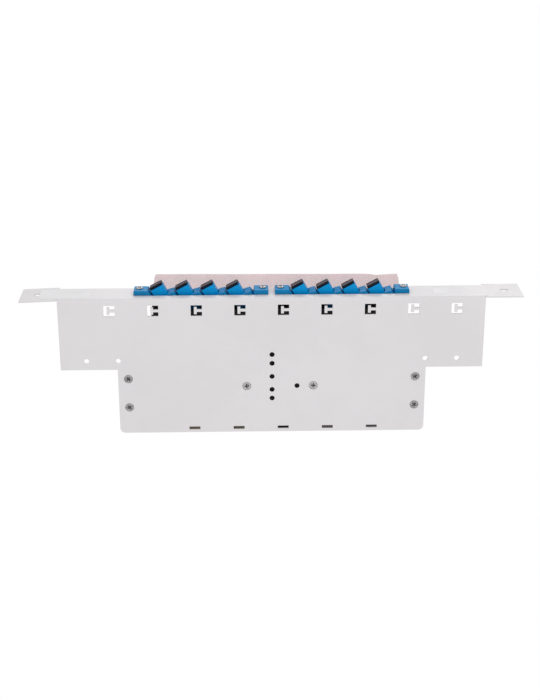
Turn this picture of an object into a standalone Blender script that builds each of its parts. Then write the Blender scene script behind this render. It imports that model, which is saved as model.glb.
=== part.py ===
# Fibre patch panel: a folded steel tray with ears, two saw-tooth adapter holders and a splice tray
# X runs along the panel, the front faces -Y, the floor plate lies on Z = 0
import math

import bmesh
import bpy
from mathutils import Matrix, Vector

MM = 0.001
CLEAR = 0.3 * MM
OVERRUN = 2.0 * MM
WELD = 0.01 * MM
HALF_SHARE = 0.5

# Folded sheet
SHEET = 1.5 * MM
PANEL_WIDTH = 482.6 * MM
EAR_HEIGHT = 35.8 * MM
EAR_REACH = 36.3 * MM
FLANGE_DROP = 1.4 * MM
STEP_BACK = 72.5 * MM
NECK_MARGIN = 24.0 * MM
DEPTH = 140.0 * MM
LIP_DEPTH = 8.0 * MM
FOLD_INSIDE = 1.2 * MM
FOLD_RELIEF = 1.0 * MM
REAR_CORNER = 5.0 * MM
EAR_HOLE_INSET = 15.8 * MM
EAR_HOLE = 7.0 * MM
EAR_LEAN = math.radians(2.1)

# Openings in the floor plate
PATTERN_SHIFT = 11.0 * MM
TIE_COUNT = 9
TIE_MARGIN = 38.2 * MM
TIE_BACK = 12.0 * MM
TIE_SIZE = 10.8 * MM
TONGUE_NECK = 2.6 * MM
TONGUE_HEAD = 7.2 * MM
TONGUE_THICK = 2.7 * MM
TONGUE_START = 3.1 * MM
SLOT_COUNT = 5
SLOT_MARGIN = 62.6 * MM
SLOT_LENGTH = 10.8 * MM
SLOT_WIDTH = 3.0 * MM
SLOT_EDGE = 4.6 * MM
WING_HOLE = 5.0 * MM
WING_HOLE_MARGIN = 25.3 * MM
WING_HOLE_PITCH = 30.7 * MM
WING_HOLE_STEP = 9.0 * MM
SPINE_HOLE = 5.0 * MM
SPINE_AHEAD = 10.0 * MM
SPINE_NEAR = 13.8 * MM
SPINE_FAR = 23.0 * MM
SIDE_HOLE_X = 24.4 * MM

# Screws
SCREW_HEAD = 8.2 * MM
SCREW_SHANK = 4.0 * MM
SCREW_CONE = 1.2 * MM
SCREW_RIM = 0.15 * MM
SCREW_SINK = 0.1 * MM
SCREW_LENGTH = 8.0 * MM
RECESS_LENGTH = 4.4 * MM
RECESS_WIDTH = 1.0 * MM
RECESS_DEPTH = 0.9 * MM
TIP_SHARE = 0.8
TIP_SLOPE_SHARE = 0.3
DOME_SHARES = ((0, 1), (0.45, 0.94), (0.8, 0.7), (1, 0.25), (1, 0))
SIDE_SCREW_EDGE = 10.0 * MM
SIDE_SCREW_REAR = 27.5 * MM
SIDE_SCREW_PITCH = 30.1 * MM
TRAY_SCREW_REAR = 46.0 * MM
TRAY_SCREW_SPAN = 65.0 * MM
TRAY_SCREW_MID = 7.8 * MM

# Adapter holder
TILT = math.radians(28.5)
TOOTH_COUNT = 4
FACE_MARGIN = 0.25 * MM
RETURN_RUN = 5.7 * MM
LAND_RUN = 5.6 * MM
LAND_RISE = 1.7 * MM
TIP_PROUD = 3.2 * MM
HOLDER_WALL = 3.0 * MM
END_WALL = 1.5 * MM
HOLDER_HEIGHT = 15.4 * MM
HOLDER_GAP = 6.4 * MM
TAB_WIDTH = 13.9 * MM
TAB_PROUD = 4.7 * MM
TAB_ROUND = 1.2 * MM
START_PROUD = 4.1 * MM
END_BACK = 2.0 * MM
TAB_SCREW_INSET = 5.3 * MM
TAB_SCREW_HEAD = 7.0 * MM
TAB_SCREW_DOME = 2.0 * MM
TAB_SCREW_SHANK = 3.0 * MM
TAB_SCREW_LENGTH = 9.0 * MM
TAB_RECESS_LENGTH = 4.0 * MM
TAB_RECESS_WIDTH = 0.9 * MM
TAB_RECESS_FLOOR = 0.8 * MM

# Adapter, measured along its own axis from the holder's tooth face
ADAPTER_WIDTH = 13.0 * MM
ADAPTER_HEIGHT = 9.3 * MM
ADAPTER_SIDE_GAP = 0.7 * MM
ADAPTER_FRONT = 9.85 * MM
ADAPTER_LENGTH = 26.0 * MM
ADAPTER_EDGE = 0.5 * MM
COLLAR_SIDE = 1.2 * MM
COLLAR_RISE = 1.05 * MM
COLLAR_THICK = 2.0 * MM
COLLAR_STEP = 0.35 * MM
PORT_SIDE = 1.8 * MM
PORT_WALL = 0.95 * MM
PORT_DEPTH = 9.6 * MM
KEYWAY_WIDTH = 3.4 * MM
KEYWAY_DEPTH = 4.0 * MM
TUBE_RADIUS = 2.5 * MM
TUBE_REACH = 3.0 * MM
TUBE_LIP = 0.6 * MM
TUBE_MOUTH = 1.5 * MM
SLEEVE_RADIUS = 1.6 * MM
SLEEVE_BORE = 1.25 * MM
SLEEVE_SLOT = 0.5 * MM

# Dust cap
CAP_SIDE = 0.25 * MM
CAP_DROP = 0.5 * MM
CAP_THICK = 2.6 * MM
CAP_EDGE = 0.3 * MM
PLUG_LENGTH = 6.5 * MM
PLUG_BORE = 2.9 * MM
PLUG_BORE_DEPTH = 5.0 * MM

# Splice tray
TRAY_LEFT_INSET = 17.0 * MM
TRAY_RIGHT_INSET = 6.6 * MM
TRAY_FRONT = 12.0 * MM
TRAY_REAR_GAP = 3.0 * MM
TRAY_WALL = 2.0 * MM
TRAY_CORNER = 12.0 * MM
BOSS_RADIUS = 4.5 * MM
BOSS_HEIGHT = 9.0 * MM
POST_RADIUS = 4.0 * MM
POST_INSET = 5.5 * MM
DRUM_RADIUS = 20.0 * MM
DRUM_WALL = 1.6 * MM
DRUM_HEIGHT = 14.0 * MM
DRUM_INSET = 50.8 * MM
DRUM_REAR = 55.0 * MM
ENTRY_WIDTH = 14.0 * MM
ENTRY_DROP = 16.0 * MM
ENTRY_BACK = 52.0 * MM
FINGER_LENGTH = 7.0 * MM
FINGER_WIDTH = 9.0 * MM
FINGER_THICK = 1.6 * MM
FINGER_DROP = 8.0 * MM
FINGER_GAP = 3.0 * MM
FINGER_REAR = 35.5 * MM
FINGER_SPREAD_SHARES = (0.32, 0.68)

# Splice comb
COMB_SLOTS = 6
COMB_PITCH = 4.0 * MM
COMB_FIN = 1.3 * MM
COMB_BASE = 1.6 * MM
COMB_HEIGHT = 8.0 * MM
COMB_LENGTH = 34.0 * MM
COMB_FRONT = 58.0 * MM
COMB_REAR_INSET = 27.0 * MM

# Side bracket
BRACKET_FOOT = 15.8 * MM
BRACKET_HEIGHT = 28.0 * MM
BRACKET_EDGE = 1.2 * MM
BRACKET_MARGIN = 7.4 * MM
BRACKET_SLOT_UP = 19.0 * MM
COLLET_RADIUS = 3.6 * MM
COLLET_HEIGHT = 2.0 * MM

# Cover film
FILM = 0.4 * MM
FILM_REACH = 13.2 * MM
FILM_SKEW = 1.6 * MM
FILM_TAPER = 3.3 * MM
FILM_DIP = 1.2 * MM
FILM_DIP_SHARES = (0.875, 0.915, 0.985)
FILM_BACK_EDGE = 3.5 * MM
FILM_WAVE = 0.4 * MM
FILM_WAVE_COUNT = 3
FILM_CURL = 0.8 * MM
FILM_CURL_LENGTH = 14.0 * MM
FILM_COLUMNS = 36
FILM_ROWS = 6
RIVET_HEAD = 3.6 * MM
RIVET_DOME = 1.1 * MM
RIVET_DOME_SHARES = ((0, 1), (0.5, 0.86), (0.85, 0.5), (1, 0))
RIVET_TIP_SHARE = 0.5
RIVET_SHANK = 1.4 * MM
RIVET_LENGTH = 7.0 * MM
RIVET_INSET = 24.8 * MM

# Facets round a full turn
FACETS_SMALL = 12
FACETS_MEDIUM = 20
FACETS_LARGE = 32
FOLD_STEPS = 4
SMOOTH_ANGLE = math.radians(40.0)

# Sizes and places worked out from the sizes above
FLOOR_TOP = SHEET + CLEAR
FOLD_OUTSIDE = FOLD_INSIDE + SHEET
FLANGE_HEIGHT = EAR_HEIGHT - FLANGE_DROP
FLOOR_WIDTH = PANEL_WIDTH - 2 * EAR_REACH
EAR_HOLE_X = PANEL_WIDTH / 2 - EAR_HOLE_INSET
COLLAR_WIDTH = ADAPTER_WIDTH + 2 * COLLAR_SIDE
COLLAR_HEIGHT = ADAPTER_HEIGHT + 2 * COLLAR_RISE
PORT_WIDTH = ADAPTER_WIDTH - 2 * PORT_SIDE
PORT_HEIGHT = ADAPTER_HEIGHT - 2 * PORT_WALL
CAP_WIDTH = ADAPTER_WIDTH - 2 * CAP_SIDE
CAP_HEIGHT = ADAPTER_HEIGHT - 2 * CAP_DROP
COS_TILT = math.cos(TILT)
SIN_TILT = math.sin(TILT)
FACE_LENGTH = ADAPTER_WIDTH + 2 * (ADAPTER_SIDE_GAP + FACE_MARGIN)
FACE_RUN = FACE_LENGTH * COS_TILT
TOOTH_RUN = FACE_RUN + LAND_RUN
TOOTH_PITCH = TOOTH_RUN + RETURN_RUN
TOOTH_DEPTH = FACE_LENGTH * SIN_TILT + LAND_RISE
RETURN_SLOPE = TOOTH_DEPTH / RETURN_RUN
VALLEY = TOOTH_DEPTH - TIP_PROUD
RUN_START = (VALLEY + START_PROUD) / RETURN_SLOPE
RUN_END = (TIP_PROUD + END_BACK) / RETURN_SLOPE
SAW_LENGTH = RUN_START + (TOOTH_COUNT - 1) * TOOTH_PITCH + TOOTH_RUN + RUN_END
HOLDER_MIDDLE = EAR_HEIGHT / 2
HOLDER_WIDTH = 2 * TAB_WIDTH + SAW_LENGTH
HOLDER_LEFTS = (-HOLDER_GAP / 2 - HOLDER_WIDTH, HOLDER_GAP / 2)
TAB_SCREW_PLACES = (TAB_SCREW_INSET, HOLDER_WIDTH - TAB_SCREW_INSET)
TRAY_LEFT = HOLDER_GAP / 2 + HOLDER_WIDTH - TRAY_LEFT_INSET
TRAY_RIGHT = HOLDER_GAP / 2 + HOLDER_WIDTH - TRAY_RIGHT_INSET
TRAY_WIDTH = TRAY_LEFT + TRAY_RIGHT
TRAY_MIDDLE = (TRAY_RIGHT - TRAY_LEFT) / 2
TRAY_BACK = DEPTH - TRAY_REAR_GAP
TRAY_TOP = FLANGE_HEIGHT
TRAY_DECK = FLOOR_TOP + TRAY_WALL
NECK_WIDTH = 2 * (TRAY_RIGHT + NECK_MARGIN)
TIE_PITCH = (FLOOR_WIDTH - 2 * TIE_MARGIN) / (TIE_COUNT - 1)
SLOT_PITCH = (NECK_WIDTH - 2 * SLOT_MARGIN) / (SLOT_COUNT - 1)
WING_HOLE_BACK = STEP_BACK - WING_HOLE_STEP
WING_HOLE_OUTER = FLOOR_WIDTH / 2 - WING_HOLE_MARGIN
WING_HOLE_INNER = WING_HOLE_OUTER - WING_HOLE_PITCH
TRAY_SCREW_BACK = TRAY_BACK - TRAY_SCREW_REAR
SPINE_CENTRE = TRAY_SCREW_BACK - SPINE_AHEAD
SIDE_SCREW_X = NECK_WIDTH / 2 - SIDE_SCREW_EDGE
SIDE_SCREW_BACK = DEPTH - SIDE_SCREW_REAR
SIDE_SCREW_FRONT = SIDE_SCREW_BACK - SIDE_SCREW_PITCH
DRUM_SPREAD = TRAY_WIDTH / 2 - DRUM_INSET
DRUM_BACK = TRAY_BACK - DRUM_REAR
COMB_REAR = TRAY_BACK - COMB_REAR_INSET
FILM_BOTTOM = FLANGE_HEIGHT + CLEAR
FILM_RIGHT = TRAY_RIGHT
FILM_BACK = TRAY_BACK - FILM_BACK_EDGE
RIVET_SPREAD = TRAY_WIDTH / 2 - RIVET_INSET
RIVET_BACK = TRAY_BACK - TRAY_WALL - POST_INSET
RIVET_PLACES = [(TRAY_MIDDLE + side * RIVET_SPREAD, RIVET_BACK) for side in (-1, 0, 1)]
TRAY_SCREWS = [(TRAY_SCREW_MID + side * TRAY_SCREW_SPAN / 2, TRAY_SCREW_BACK) for side in (-1, 1)]
SIDE_SCREWS = [
    (side * SIDE_SCREW_X, back) for side in (-1, 1) for back in (SIDE_SCREW_FRONT, SIDE_SCREW_BACK)
]
ORIGIN_BACK = (DEPTH - FILM_REACH) / 2


# Scene and helpers

def clear_scene():
    for thing in list(bpy.data.objects):
        bpy.data.objects.remove(thing)


def make_collection(name):
    collection = bpy.data.collections.new(name)
    bpy.context.scene.collection.children.link(collection)
    return collection


def make_material(name, colour, roughness, metallic=0.0, alpha=1.0):
    material = bpy.data.materials.new(name)
    material.use_nodes = True
    shader = material.node_tree.nodes["Principled BSDF"]
    shader.inputs["Base Color"].default_value = (*colour, 1.0)
    shader.inputs["Roughness"].default_value = roughness
    shader.inputs["Metallic"].default_value = metallic
    shader.inputs["Alpha"].default_value = alpha
    return material


def add_object(name, mesh, material=None, collection=None):
    thing = bpy.data.objects.new(name, mesh)
    (collection or PARTS).objects.link(thing)
    if material:
        thing.data.materials.clear()
        thing.data.materials.append(material)
    if collection is not CUTTERS:
        thing.parent = ORIGIN
    return thing


def add_tool(name, mesh):
    tool = add_object(name, mesh, None, CUTTERS)
    tool.hide_render = True
    tool.display_type = "WIRE"
    tool.parent = ORIGIN
    return tool


def smooth_mesh(mesh):
    mesh.shade_smooth()
    mesh.set_sharp_from_angle(angle=SMOOTH_ANGLE)
    return mesh


def finish_mesh(bm, name):
    bmesh.ops.recalc_face_normals(bm, faces=bm.faces)
    mesh = bpy.data.meshes.new(name)
    bm.to_mesh(mesh)
    bm.free()
    return mesh


def bake(thing):
    bpy.context.view_layer.update()
    depsgraph = bpy.context.evaluated_depsgraph_get()
    mesh = bpy.data.meshes.new_from_object(thing.evaluated_get(depsgraph))
    bpy.data.objects.remove(thing)
    return mesh


def boxes(name, spans):
    bm = bmesh.new()
    for low_x, high_x, low_y, high_y, low_z, high_z in spans:
        middle = Vector((low_x + high_x, low_y + high_y, low_z + high_z)) / 2
        size = (high_x - low_x, high_y - low_y, high_z - low_z, 1)
        bmesh.ops.create_cube(bm, size=1, matrix=Matrix.Translation(middle) @ Matrix.Diagonal(size))
    return finish_mesh(bm, name)


def rods(name, places, radius, low, high, facets, along_y=False):
    bm = bmesh.new()
    for across, other in places:
        if along_y:
            place = Matrix.Translation((across, (low + high) / 2, other))
            middle = place @ Matrix.Rotation(math.pi / 2, 4, "X")
        else:
            middle = Matrix.Translation((across, other, (low + high) / 2))
        depth = high - low
        bmesh.ops.create_cone(
            bm, cap_ends=True, segments=facets, radius1=radius, radius2=radius, depth=depth, matrix=middle
        )
    return finish_mesh(bm, name)


def outline_solid(name, loops, low, high):
    curve = bpy.data.curves.new(name, "CURVE")
    curve.dimensions = "2D"
    curve.fill_mode = "BOTH"
    curve.extrude = (high - low) / 2
    for points in loops:
        spline = curve.splines.new("POLY")
        spline.points.add(len(points) - 1)
        for point, (across, up) in zip(spline.points, points):
            point.co = (across, up, 0, 1)
        spline.use_cyclic_u = True
    thing = bpy.data.objects.new(name, curve)
    CUTTERS.objects.link(thing)
    mesh = bake(thing)
    bm = bmesh.new()
    bm.from_mesh(mesh)
    bmesh.ops.remove_doubles(bm, verts=bm.verts, dist=WELD)
    bmesh.ops.translate(bm, verts=bm.verts, vec=(0, 0, (low + high) / 2))
    return finish_mesh(bm, name)


def turned_mesh(name, profile, facets):
    bm = bmesh.new()
    points = [bm.verts.new((radius, 0, height)) for radius, height in profile]
    for upper, lower in zip(points, points[1:]):
        bm.edges.new((upper, lower))
    mesh = bpy.data.meshes.new(name)
    bm.to_mesh(mesh)
    bm.free()
    thing = bpy.data.objects.new(name, mesh)
    CUTTERS.objects.link(thing)
    screw = thing.modifiers.new("turn", "SCREW")
    screw.angle = 2 * math.pi
    screw.steps = facets
    screw.render_steps = facets
    screw.use_merge_vertices = True
    screw.merge_threshold = WELD
    baked = bake(thing)
    bm = bmesh.new()
    bm.from_mesh(baked)
    bmesh.ops.remove_doubles(bm, verts=bm.verts, dist=WELD)
    return smooth_mesh(finish_mesh(bm, name))


def circle(radius, facets, centre=(0, 0)):
    turns = [2 * math.pi * step / facets for step in range(facets)]
    return [(centre[0] + radius * math.cos(turn), centre[1] + radius * math.sin(turn)) for turn in turns]


def boolean(thing, tool, operation="DIFFERENCE"):
    modifier = thing.modifiers.new(tool.name, "BOOLEAN")
    modifier.operation = operation
    modifier.object = tool
    modifier.solver = "EXACT"
    return modifier


def combine(name, mesh, cuts=(), unions=()):
    thing = bpy.data.objects.new(name, mesh)
    CUTTERS.objects.link(thing)
    tools = []
    steps = [(extra, "UNION") for extra in unions] + [(extra, "DIFFERENCE") for extra in cuts]
    for count, (extra, operation) in enumerate(steps):
        tool = bpy.data.objects.new(name + "_tool_" + str(count), extra)
        CUTTERS.objects.link(tool)
        boolean(thing, tool, operation)
        tools.append(tool)
    baked = bake(thing)
    for tool in tools:
        bpy.data.objects.remove(tool)
    return baked


def bevel_edges(mesh, pick, width, segments):
    bm = bmesh.new()
    bm.from_mesh(mesh)
    chosen = [edge for edge in bm.edges if pick(edge.verts[0].co, edge.verts[1].co)]
    bmesh.ops.bevel(
        bm, geom=chosen, offset=width, segments=segments, profile=0.5, affect="EDGES", material=-1
    )
    return finish_mesh(bm, mesh.name)


def fold_surface(profile, low, high):
    bm = bmesh.new()
    points = [bm.verts.new((low, back, up)) for back, up in profile]
    edges = [bm.edges.new(pair) for pair in zip(points, points[1:])]
    grown = bmesh.ops.extrude_edge_only(bm, edges=edges)
    moved = [item for item in grown["geom"] if isinstance(item, bmesh.types.BMVert)]
    bmesh.ops.translate(bm, verts=moved, vec=(high - low, 0, 0))
    folds = [edge for edge in bm.edges if len(edge.link_faces) == 2]
    bmesh.ops.bevel(
        bm, geom=folds, offset=FOLD_OUTSIDE, segments=FOLD_STEPS, profile=0.5, affect="EDGES", material=-1
    )
    return bm


def thicken(bm, name, thickness):
    bmesh.ops.recalc_face_normals(bm, faces=bm.faces)
    lowest = min(bm.faces, key=lambda face: face.calc_center_median().z)
    if lowest.normal.z > 0:
        bmesh.ops.reverse_faces(bm, faces=bm.faces)
    mesh = bpy.data.meshes.new(name)
    bm.to_mesh(mesh)
    bm.free()
    thing = bpy.data.objects.new(name, mesh)
    CUTTERS.objects.link(thing)
    solid = thing.modifiers.new("thickness", "SOLIDIFY")
    solid.thickness = thickness
    solid.offset = -1
    solid.use_even_offset = True
    return bake(thing)


# The folded sheet with its ears, the left one bent back a little

def tie_outline(centre_x, centre_y):
    half = TIE_SIZE / 2
    head_start = TONGUE_START - half
    head_end = head_start + TONGUE_THICK
    corners = [
        (-half, -half),
        (half, -half),
        (half, -TONGUE_NECK / 2),
        (head_end, -TONGUE_NECK / 2),
        (head_end, -TONGUE_HEAD / 2),
        (head_start, -TONGUE_HEAD / 2),
        (head_start, TONGUE_HEAD / 2),
        (head_end, TONGUE_HEAD / 2),
        (head_end, TONGUE_NECK / 2),
        (half, TONGUE_NECK / 2),
        (half, half),
        (-half, half),
    ]
    return [(centre_x + across, centre_y + back) for across, back in corners]


def nearest_point(bm, place):
    return min(bm.verts, key=lambda point: (point.co - Vector(place)).length)


def add_ears(bm):
    upper = FLANGE_HEIGHT - FOLD_OUTSIDE
    for side in (-1, 1):
        flange_end = side * FLOOR_WIDTH / 2
        lower_root = nearest_point(bm, (flange_end, 0, FOLD_OUTSIDE))
        upper_root = nearest_point(bm, (flange_end, 0, upper))
        inner = flange_end + side * FOLD_RELIEF
        outer = side * PANEL_WIDTH / 2
        back = (inner - outer) * math.tan(EAR_LEAN) if side < 0 else 0
        low_inner = bm.verts.new((inner, 0, FOLD_OUTSIDE))
        high_inner = bm.verts.new((inner, 0, upper))
        corners = [(inner, 0, 0), (outer, back, 0), (outer, back, EAR_HEIGHT), (inner, 0, EAR_HEIGHT)]
        ring = [bm.verts.new(corner) for corner in corners]
        bm.faces.new([lower_root, low_inner, high_inner, upper_root])
        bm.faces.new([low_inner] + ring + [high_inner])


def sheet_body():
    profile = [(DEPTH, 0), (0, 0), (0, FLANGE_HEIGHT), (LIP_DEPTH, FLANGE_HEIGHT)]
    surface = fold_surface(profile, -FLOOR_WIDTH / 2, FLOOR_WIDTH / 2)
    add_ears(surface)
    folded = thicken(surface, "folded_sheet", SHEET)
    notch_spans = [
        (low, high, STEP_BACK, DEPTH + OVERRUN, -OVERRUN, SHEET + OVERRUN)
        for low, high in (
            (NECK_WIDTH / 2, FLOOR_WIDTH / 2 + OVERRUN),
            (-FLOOR_WIDTH / 2 - OVERRUN, -NECK_WIDTH / 2),
        )
    ]
    mesh = combine("sheet_outline", folded, [boxes("notches", notch_spans)])
    corner = Vector((NECK_WIDTH / 2, DEPTH))

    def is_rear_corner(first, second):
        upright = (first.xy - second.xy).length < WELD
        return upright and (Vector((abs(first.x), first.y)) - corner).length < WELD

    return bevel_edges(mesh, is_rear_corner, REAR_CORNER, FOLD_STEPS)


def screw_seat(name, places):
    head = SCREW_HEAD / 2
    shank = SCREW_SHANK / 2
    rim = SCREW_SINK + SCREW_RIM
    cone = SCREW_CONE - SCREW_RIM
    lift = CLEAR * math.hypot(head - shank, cone) / (head - shank)
    profile = [
        (0, rim + cone + lift),
        (shank + CLEAR, rim + cone + lift),
        (head + CLEAR, rim + lift),
        (head + CLEAR, -OVERRUN),
        (0, -OVERRUN),
    ]
    seat = turned_mesh("screw_seat", profile, FACETS_MEDIUM)
    bm = bmesh.new()
    for across, back in places:
        placed = seat.copy()
        placed.transform(Matrix.Translation((across, back, 0)))
        bm.from_mesh(placed)
    return finish_mesh(bm, name)


def make_chassis():
    thing = add_object("chassis", sheet_body(), WHITE_COAT)
    below = -OVERRUN
    above = SHEET + OVERRUN
    ties = bmesh.new()
    for count in range(TIE_COUNT):
        centre_x = PATTERN_SHIFT + (count - (TIE_COUNT - 1) / 2) * TIE_PITCH
        ties.from_mesh(outline_solid("tie", [tie_outline(centre_x, TIE_BACK)], below, above))
    boolean(thing, add_tool("tie_window_cutter", finish_mesh(ties, "tie_windows")))
    slots = []
    for count in range(SLOT_COUNT):
        centre_x = PATTERN_SHIFT + (count - (SLOT_COUNT - 1) / 2) * SLOT_PITCH
        centre_y = DEPTH - SLOT_EDGE
        slots.append(
            (
                centre_x - SLOT_LENGTH / 2,
                centre_x + SLOT_LENGTH / 2,
                centre_y - SLOT_WIDTH / 2,
                centre_y + SLOT_WIDTH / 2,
                below,
                above,
            )
        )
    boolean(thing, add_tool("rear_slot_cutter", boxes("rear_slots", slots)))
    wings = [(side * x, WING_HOLE_BACK) for side in (-1, 1) for x in (WING_HOLE_INNER, WING_HOLE_OUTER)]
    wing_rods = rods("wing_holes", wings, WING_HOLE / 2, below, above, FACETS_MEDIUM)
    boolean(thing, add_tool("wing_hole_cutter", wing_rods))
    spine = [(0, SPINE_CENTRE + step) for step in (-SPINE_FAR, -SPINE_NEAR, 0, SPINE_NEAR, SPINE_FAR)]
    spine.append((SIDE_HOLE_X, TRAY_SCREW_BACK))
    spine_rods = rods("spine_holes", spine, SPINE_HOLE / 2, below, above, FACETS_MEDIUM)
    boolean(thing, add_tool("spine_hole_cutter", spine_rods))
    screws = TRAY_SCREWS + SIDE_SCREWS
    boolean(thing, add_tool("screw_seat_cutter", screw_seat("screw_seats", screws)))
    shank_hole = SCREW_SHANK / 2 + CLEAR
    shank_rods = rods("shank_holes", screws, shank_hole, below, above, FACETS_SMALL)
    boolean(thing, add_tool("shank_hole_cutter", shank_rods))
    ears = [(side * EAR_HOLE_X, EAR_HEIGHT / 2) for side in (-1, 1)]
    ear_rods = rods("ear_holes", ears, EAR_HOLE / 2, below, above, FACETS_MEDIUM, True)
    boolean(thing, add_tool("ear_hole_cutter", ear_rods))
    windows = []
    tab_holes = []
    for left in HOLDER_LEFTS:
        windows.append(
            (
                left + TAB_WIDTH,
                left + HOLDER_WIDTH - TAB_WIDTH + END_WALL + CLEAR,
                below,
                above,
                HOLDER_MIDDLE - HOLDER_HEIGHT / 2 - CLEAR,
                HOLDER_MIDDLE + HOLDER_HEIGHT / 2 + CLEAR,
            )
        )
        tab_holes += [(left + inset, HOLDER_MIDDLE) for inset in TAB_SCREW_PLACES]
    boolean(thing, add_tool("holder_window_cutter", boxes("holder_windows", windows)))
    tab_radius = TAB_SCREW_SHANK / 2 + CLEAR
    tab_rods = rods("tab_holes", tab_holes, tab_radius, below, above, FACETS_SMALL, True)
    boolean(thing, add_tool("tab_hole_cutter", tab_rods))
    return thing


# Screws

def cross_cut(length, width, low, high):
    cross = [
        (-length / 2, length / 2, -width / 2, width / 2, low, high),
        (-width / 2, width / 2, -length / 2, length / 2, low, high),
    ]
    return [boxes("cross_bar", [span]) for span in cross]


def floor_screw_mesh():
    head = SCREW_HEAD / 2
    shank = SCREW_SHANK / 2
    profile = [
        (0, SCREW_SINK + SCREW_LENGTH),
        (shank * TIP_SHARE, SCREW_SINK + SCREW_LENGTH),
        (shank, SCREW_SINK + SCREW_LENGTH - shank * TIP_SLOPE_SHARE),
        (shank, SCREW_SINK + SCREW_CONE),
        (head, SCREW_SINK + SCREW_RIM),
        (head, SCREW_SINK),
        (0, SCREW_SINK),
    ]
    body = turned_mesh("floor_screw", profile, FACETS_MEDIUM)
    cross = cross_cut(RECESS_LENGTH, RECESS_WIDTH, -OVERRUN, SCREW_SINK + RECESS_DEPTH)
    return smooth_mesh(combine("floor_screw_body", body, cross))


def tab_screw_mesh():
    head = TAB_SCREW_HEAD / 2
    shank = TAB_SCREW_SHANK / 2
    profile = [(head * out, TAB_SCREW_DOME * up) for out, up in DOME_SHARES]
    profile += [
        (shank, 0),
        (shank, shank * TIP_SLOPE_SHARE - TAB_SCREW_LENGTH),
        (shank * TIP_SHARE, -TAB_SCREW_LENGTH),
        (0, -TAB_SCREW_LENGTH),
    ]
    body = turned_mesh("tab_screw", profile, FACETS_MEDIUM)
    cross = cross_cut(TAB_RECESS_LENGTH, TAB_RECESS_WIDTH, TAB_RECESS_FLOOR, TAB_SCREW_DOME + OVERRUN)
    return smooth_mesh(combine("tab_screw_body", body, cross))


def make_floor_screws():
    mesh = floor_screw_mesh()
    for count, (across, back) in enumerate(TRAY_SCREWS):
        screw = add_object("tray_screw_" + str(count + 1), mesh, STEEL)
        screw.location = (across, back, 0)
    for count, (across, back) in enumerate(SIDE_SCREWS):
        screw = add_object("bracket_screw_" + str(count + 1), mesh, STEEL)
        screw.location = (across, back, 0)


# Adapter holders

def holder_outline():
    first = TAB_WIDTH + RUN_START
    tab_end = first + (TOOTH_COUNT - 1) * TOOTH_PITCH + TOOTH_RUN + RUN_END
    saw = []
    for count in range(TOOTH_COUNT):
        valley_x = first + count * TOOTH_PITCH
        saw.append((valley_x, VALLEY))
        saw.append((valley_x + FACE_RUN, LAND_RISE - TIP_PROUD))
        saw.append((valley_x + TOOTH_RUN, -TIP_PROUD))
    saw_start = (TAB_WIDTH, VALLEY - RUN_START * RETURN_SLOPE)
    saw_end = (tab_end, RUN_END * RETURN_SLOPE - TIP_PROUD)
    front = [(0, -TAB_PROUD), (TAB_WIDTH, -TAB_PROUD), saw_start] + saw
    front += [saw_end, (tab_end, -TAB_PROUD), (HOLDER_WIDTH, -TAB_PROUD)]
    inner = [(across, back + HOLDER_WALL) for across, back in saw]
    start = first - (VALLEY + HOLDER_WALL + CLEAR) / RETURN_SLOPE
    end = tab_end + END_WALL
    left_wall = [(0, -CLEAR), (start, -CLEAR)]
    right_wall = [(end, saw_end[1] + HOLDER_WALL), (end, -CLEAR), (HOLDER_WIDTH, -CLEAR)]
    rear = left_wall + inner + right_wall
    return front + rear[::-1]


def adapter_seats():
    seats = []
    for left in HOLDER_LEFTS:
        for count in range(TOOTH_COUNT):
            valley_x = left + TAB_WIDTH + RUN_START + count * TOOTH_PITCH
            seats.append((valley_x + FACE_RUN / 2, VALLEY - FACE_LENGTH * SIN_TILT / 2))
    return seats


def holder_mesh():
    low = HOLDER_MIDDLE - HOLDER_HEIGHT / 2
    high = HOLDER_MIDDLE + HOLDER_HEIGHT / 2
    body = outline_solid("holder", [holder_outline()], low, high)

    def is_tab_edge(first, second):
        return max(first.y, second.y) < WELD - TAB_PROUD

    body = bevel_edges(body, is_tab_edge, TAB_ROUND, 2)
    half_width = ADAPTER_WIDTH / 2 + ADAPTER_SIDE_GAP
    half_height = ADAPTER_HEIGHT / 2 + CLEAR
    ports = bmesh.new()
    for seat_x, seat_y in adapter_seats()[:TOOTH_COUNT]:
        port = boxes(
            "port",
            [
                (
                    -half_width,
                    half_width,
                    -TIP_PROUD,
                    HOLDER_WALL + CLEAR,
                    HOLDER_MIDDLE - half_height,
                    HOLDER_MIDDLE + half_height,
                )
            ],
        )
        seat = Matrix.Translation((seat_x - HOLDER_LEFTS[0], seat_y, 0))
        port.transform(seat @ Matrix.Rotation(-TILT, 4, "Z"))
        ports.from_mesh(port)
    holes = [(inset, HOLDER_MIDDLE) for inset in TAB_SCREW_PLACES]
    hole_radius = TAB_SCREW_SHANK / 2 + CLEAR
    screw_holes = rods("screw_holes", holes, hole_radius, -TAB_PROUD - OVERRUN, OVERRUN, FACETS_SMALL, True)
    return combine("holder_body", body, [finish_mesh(ports, "ports"), screw_holes])


def make_holders():
    mesh = holder_mesh()
    screw_mesh = tab_screw_mesh()
    for side, left in zip(("left", "right"), HOLDER_LEFTS):
        holder = add_object("adapter_holder_" + side, mesh, BLUE_MOULD)
        holder.location = (left, 0, 0)
        for count, inset in enumerate(TAB_SCREW_PLACES):
            screw = add_object("holder_screw_" + side + "_" + str(count + 1), screw_mesh, BRIGHT_STEEL)
            screw.location = (left + inset, -TAB_PROUD - CLEAR, HOLDER_MIDDLE)
            screw.rotation_euler = (math.pi / 2, 0, 0)


# Adapters, sleeves and dust caps

def long_edges(first, second):
    return abs((first - second).y) > ADAPTER_FRONT


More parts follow.
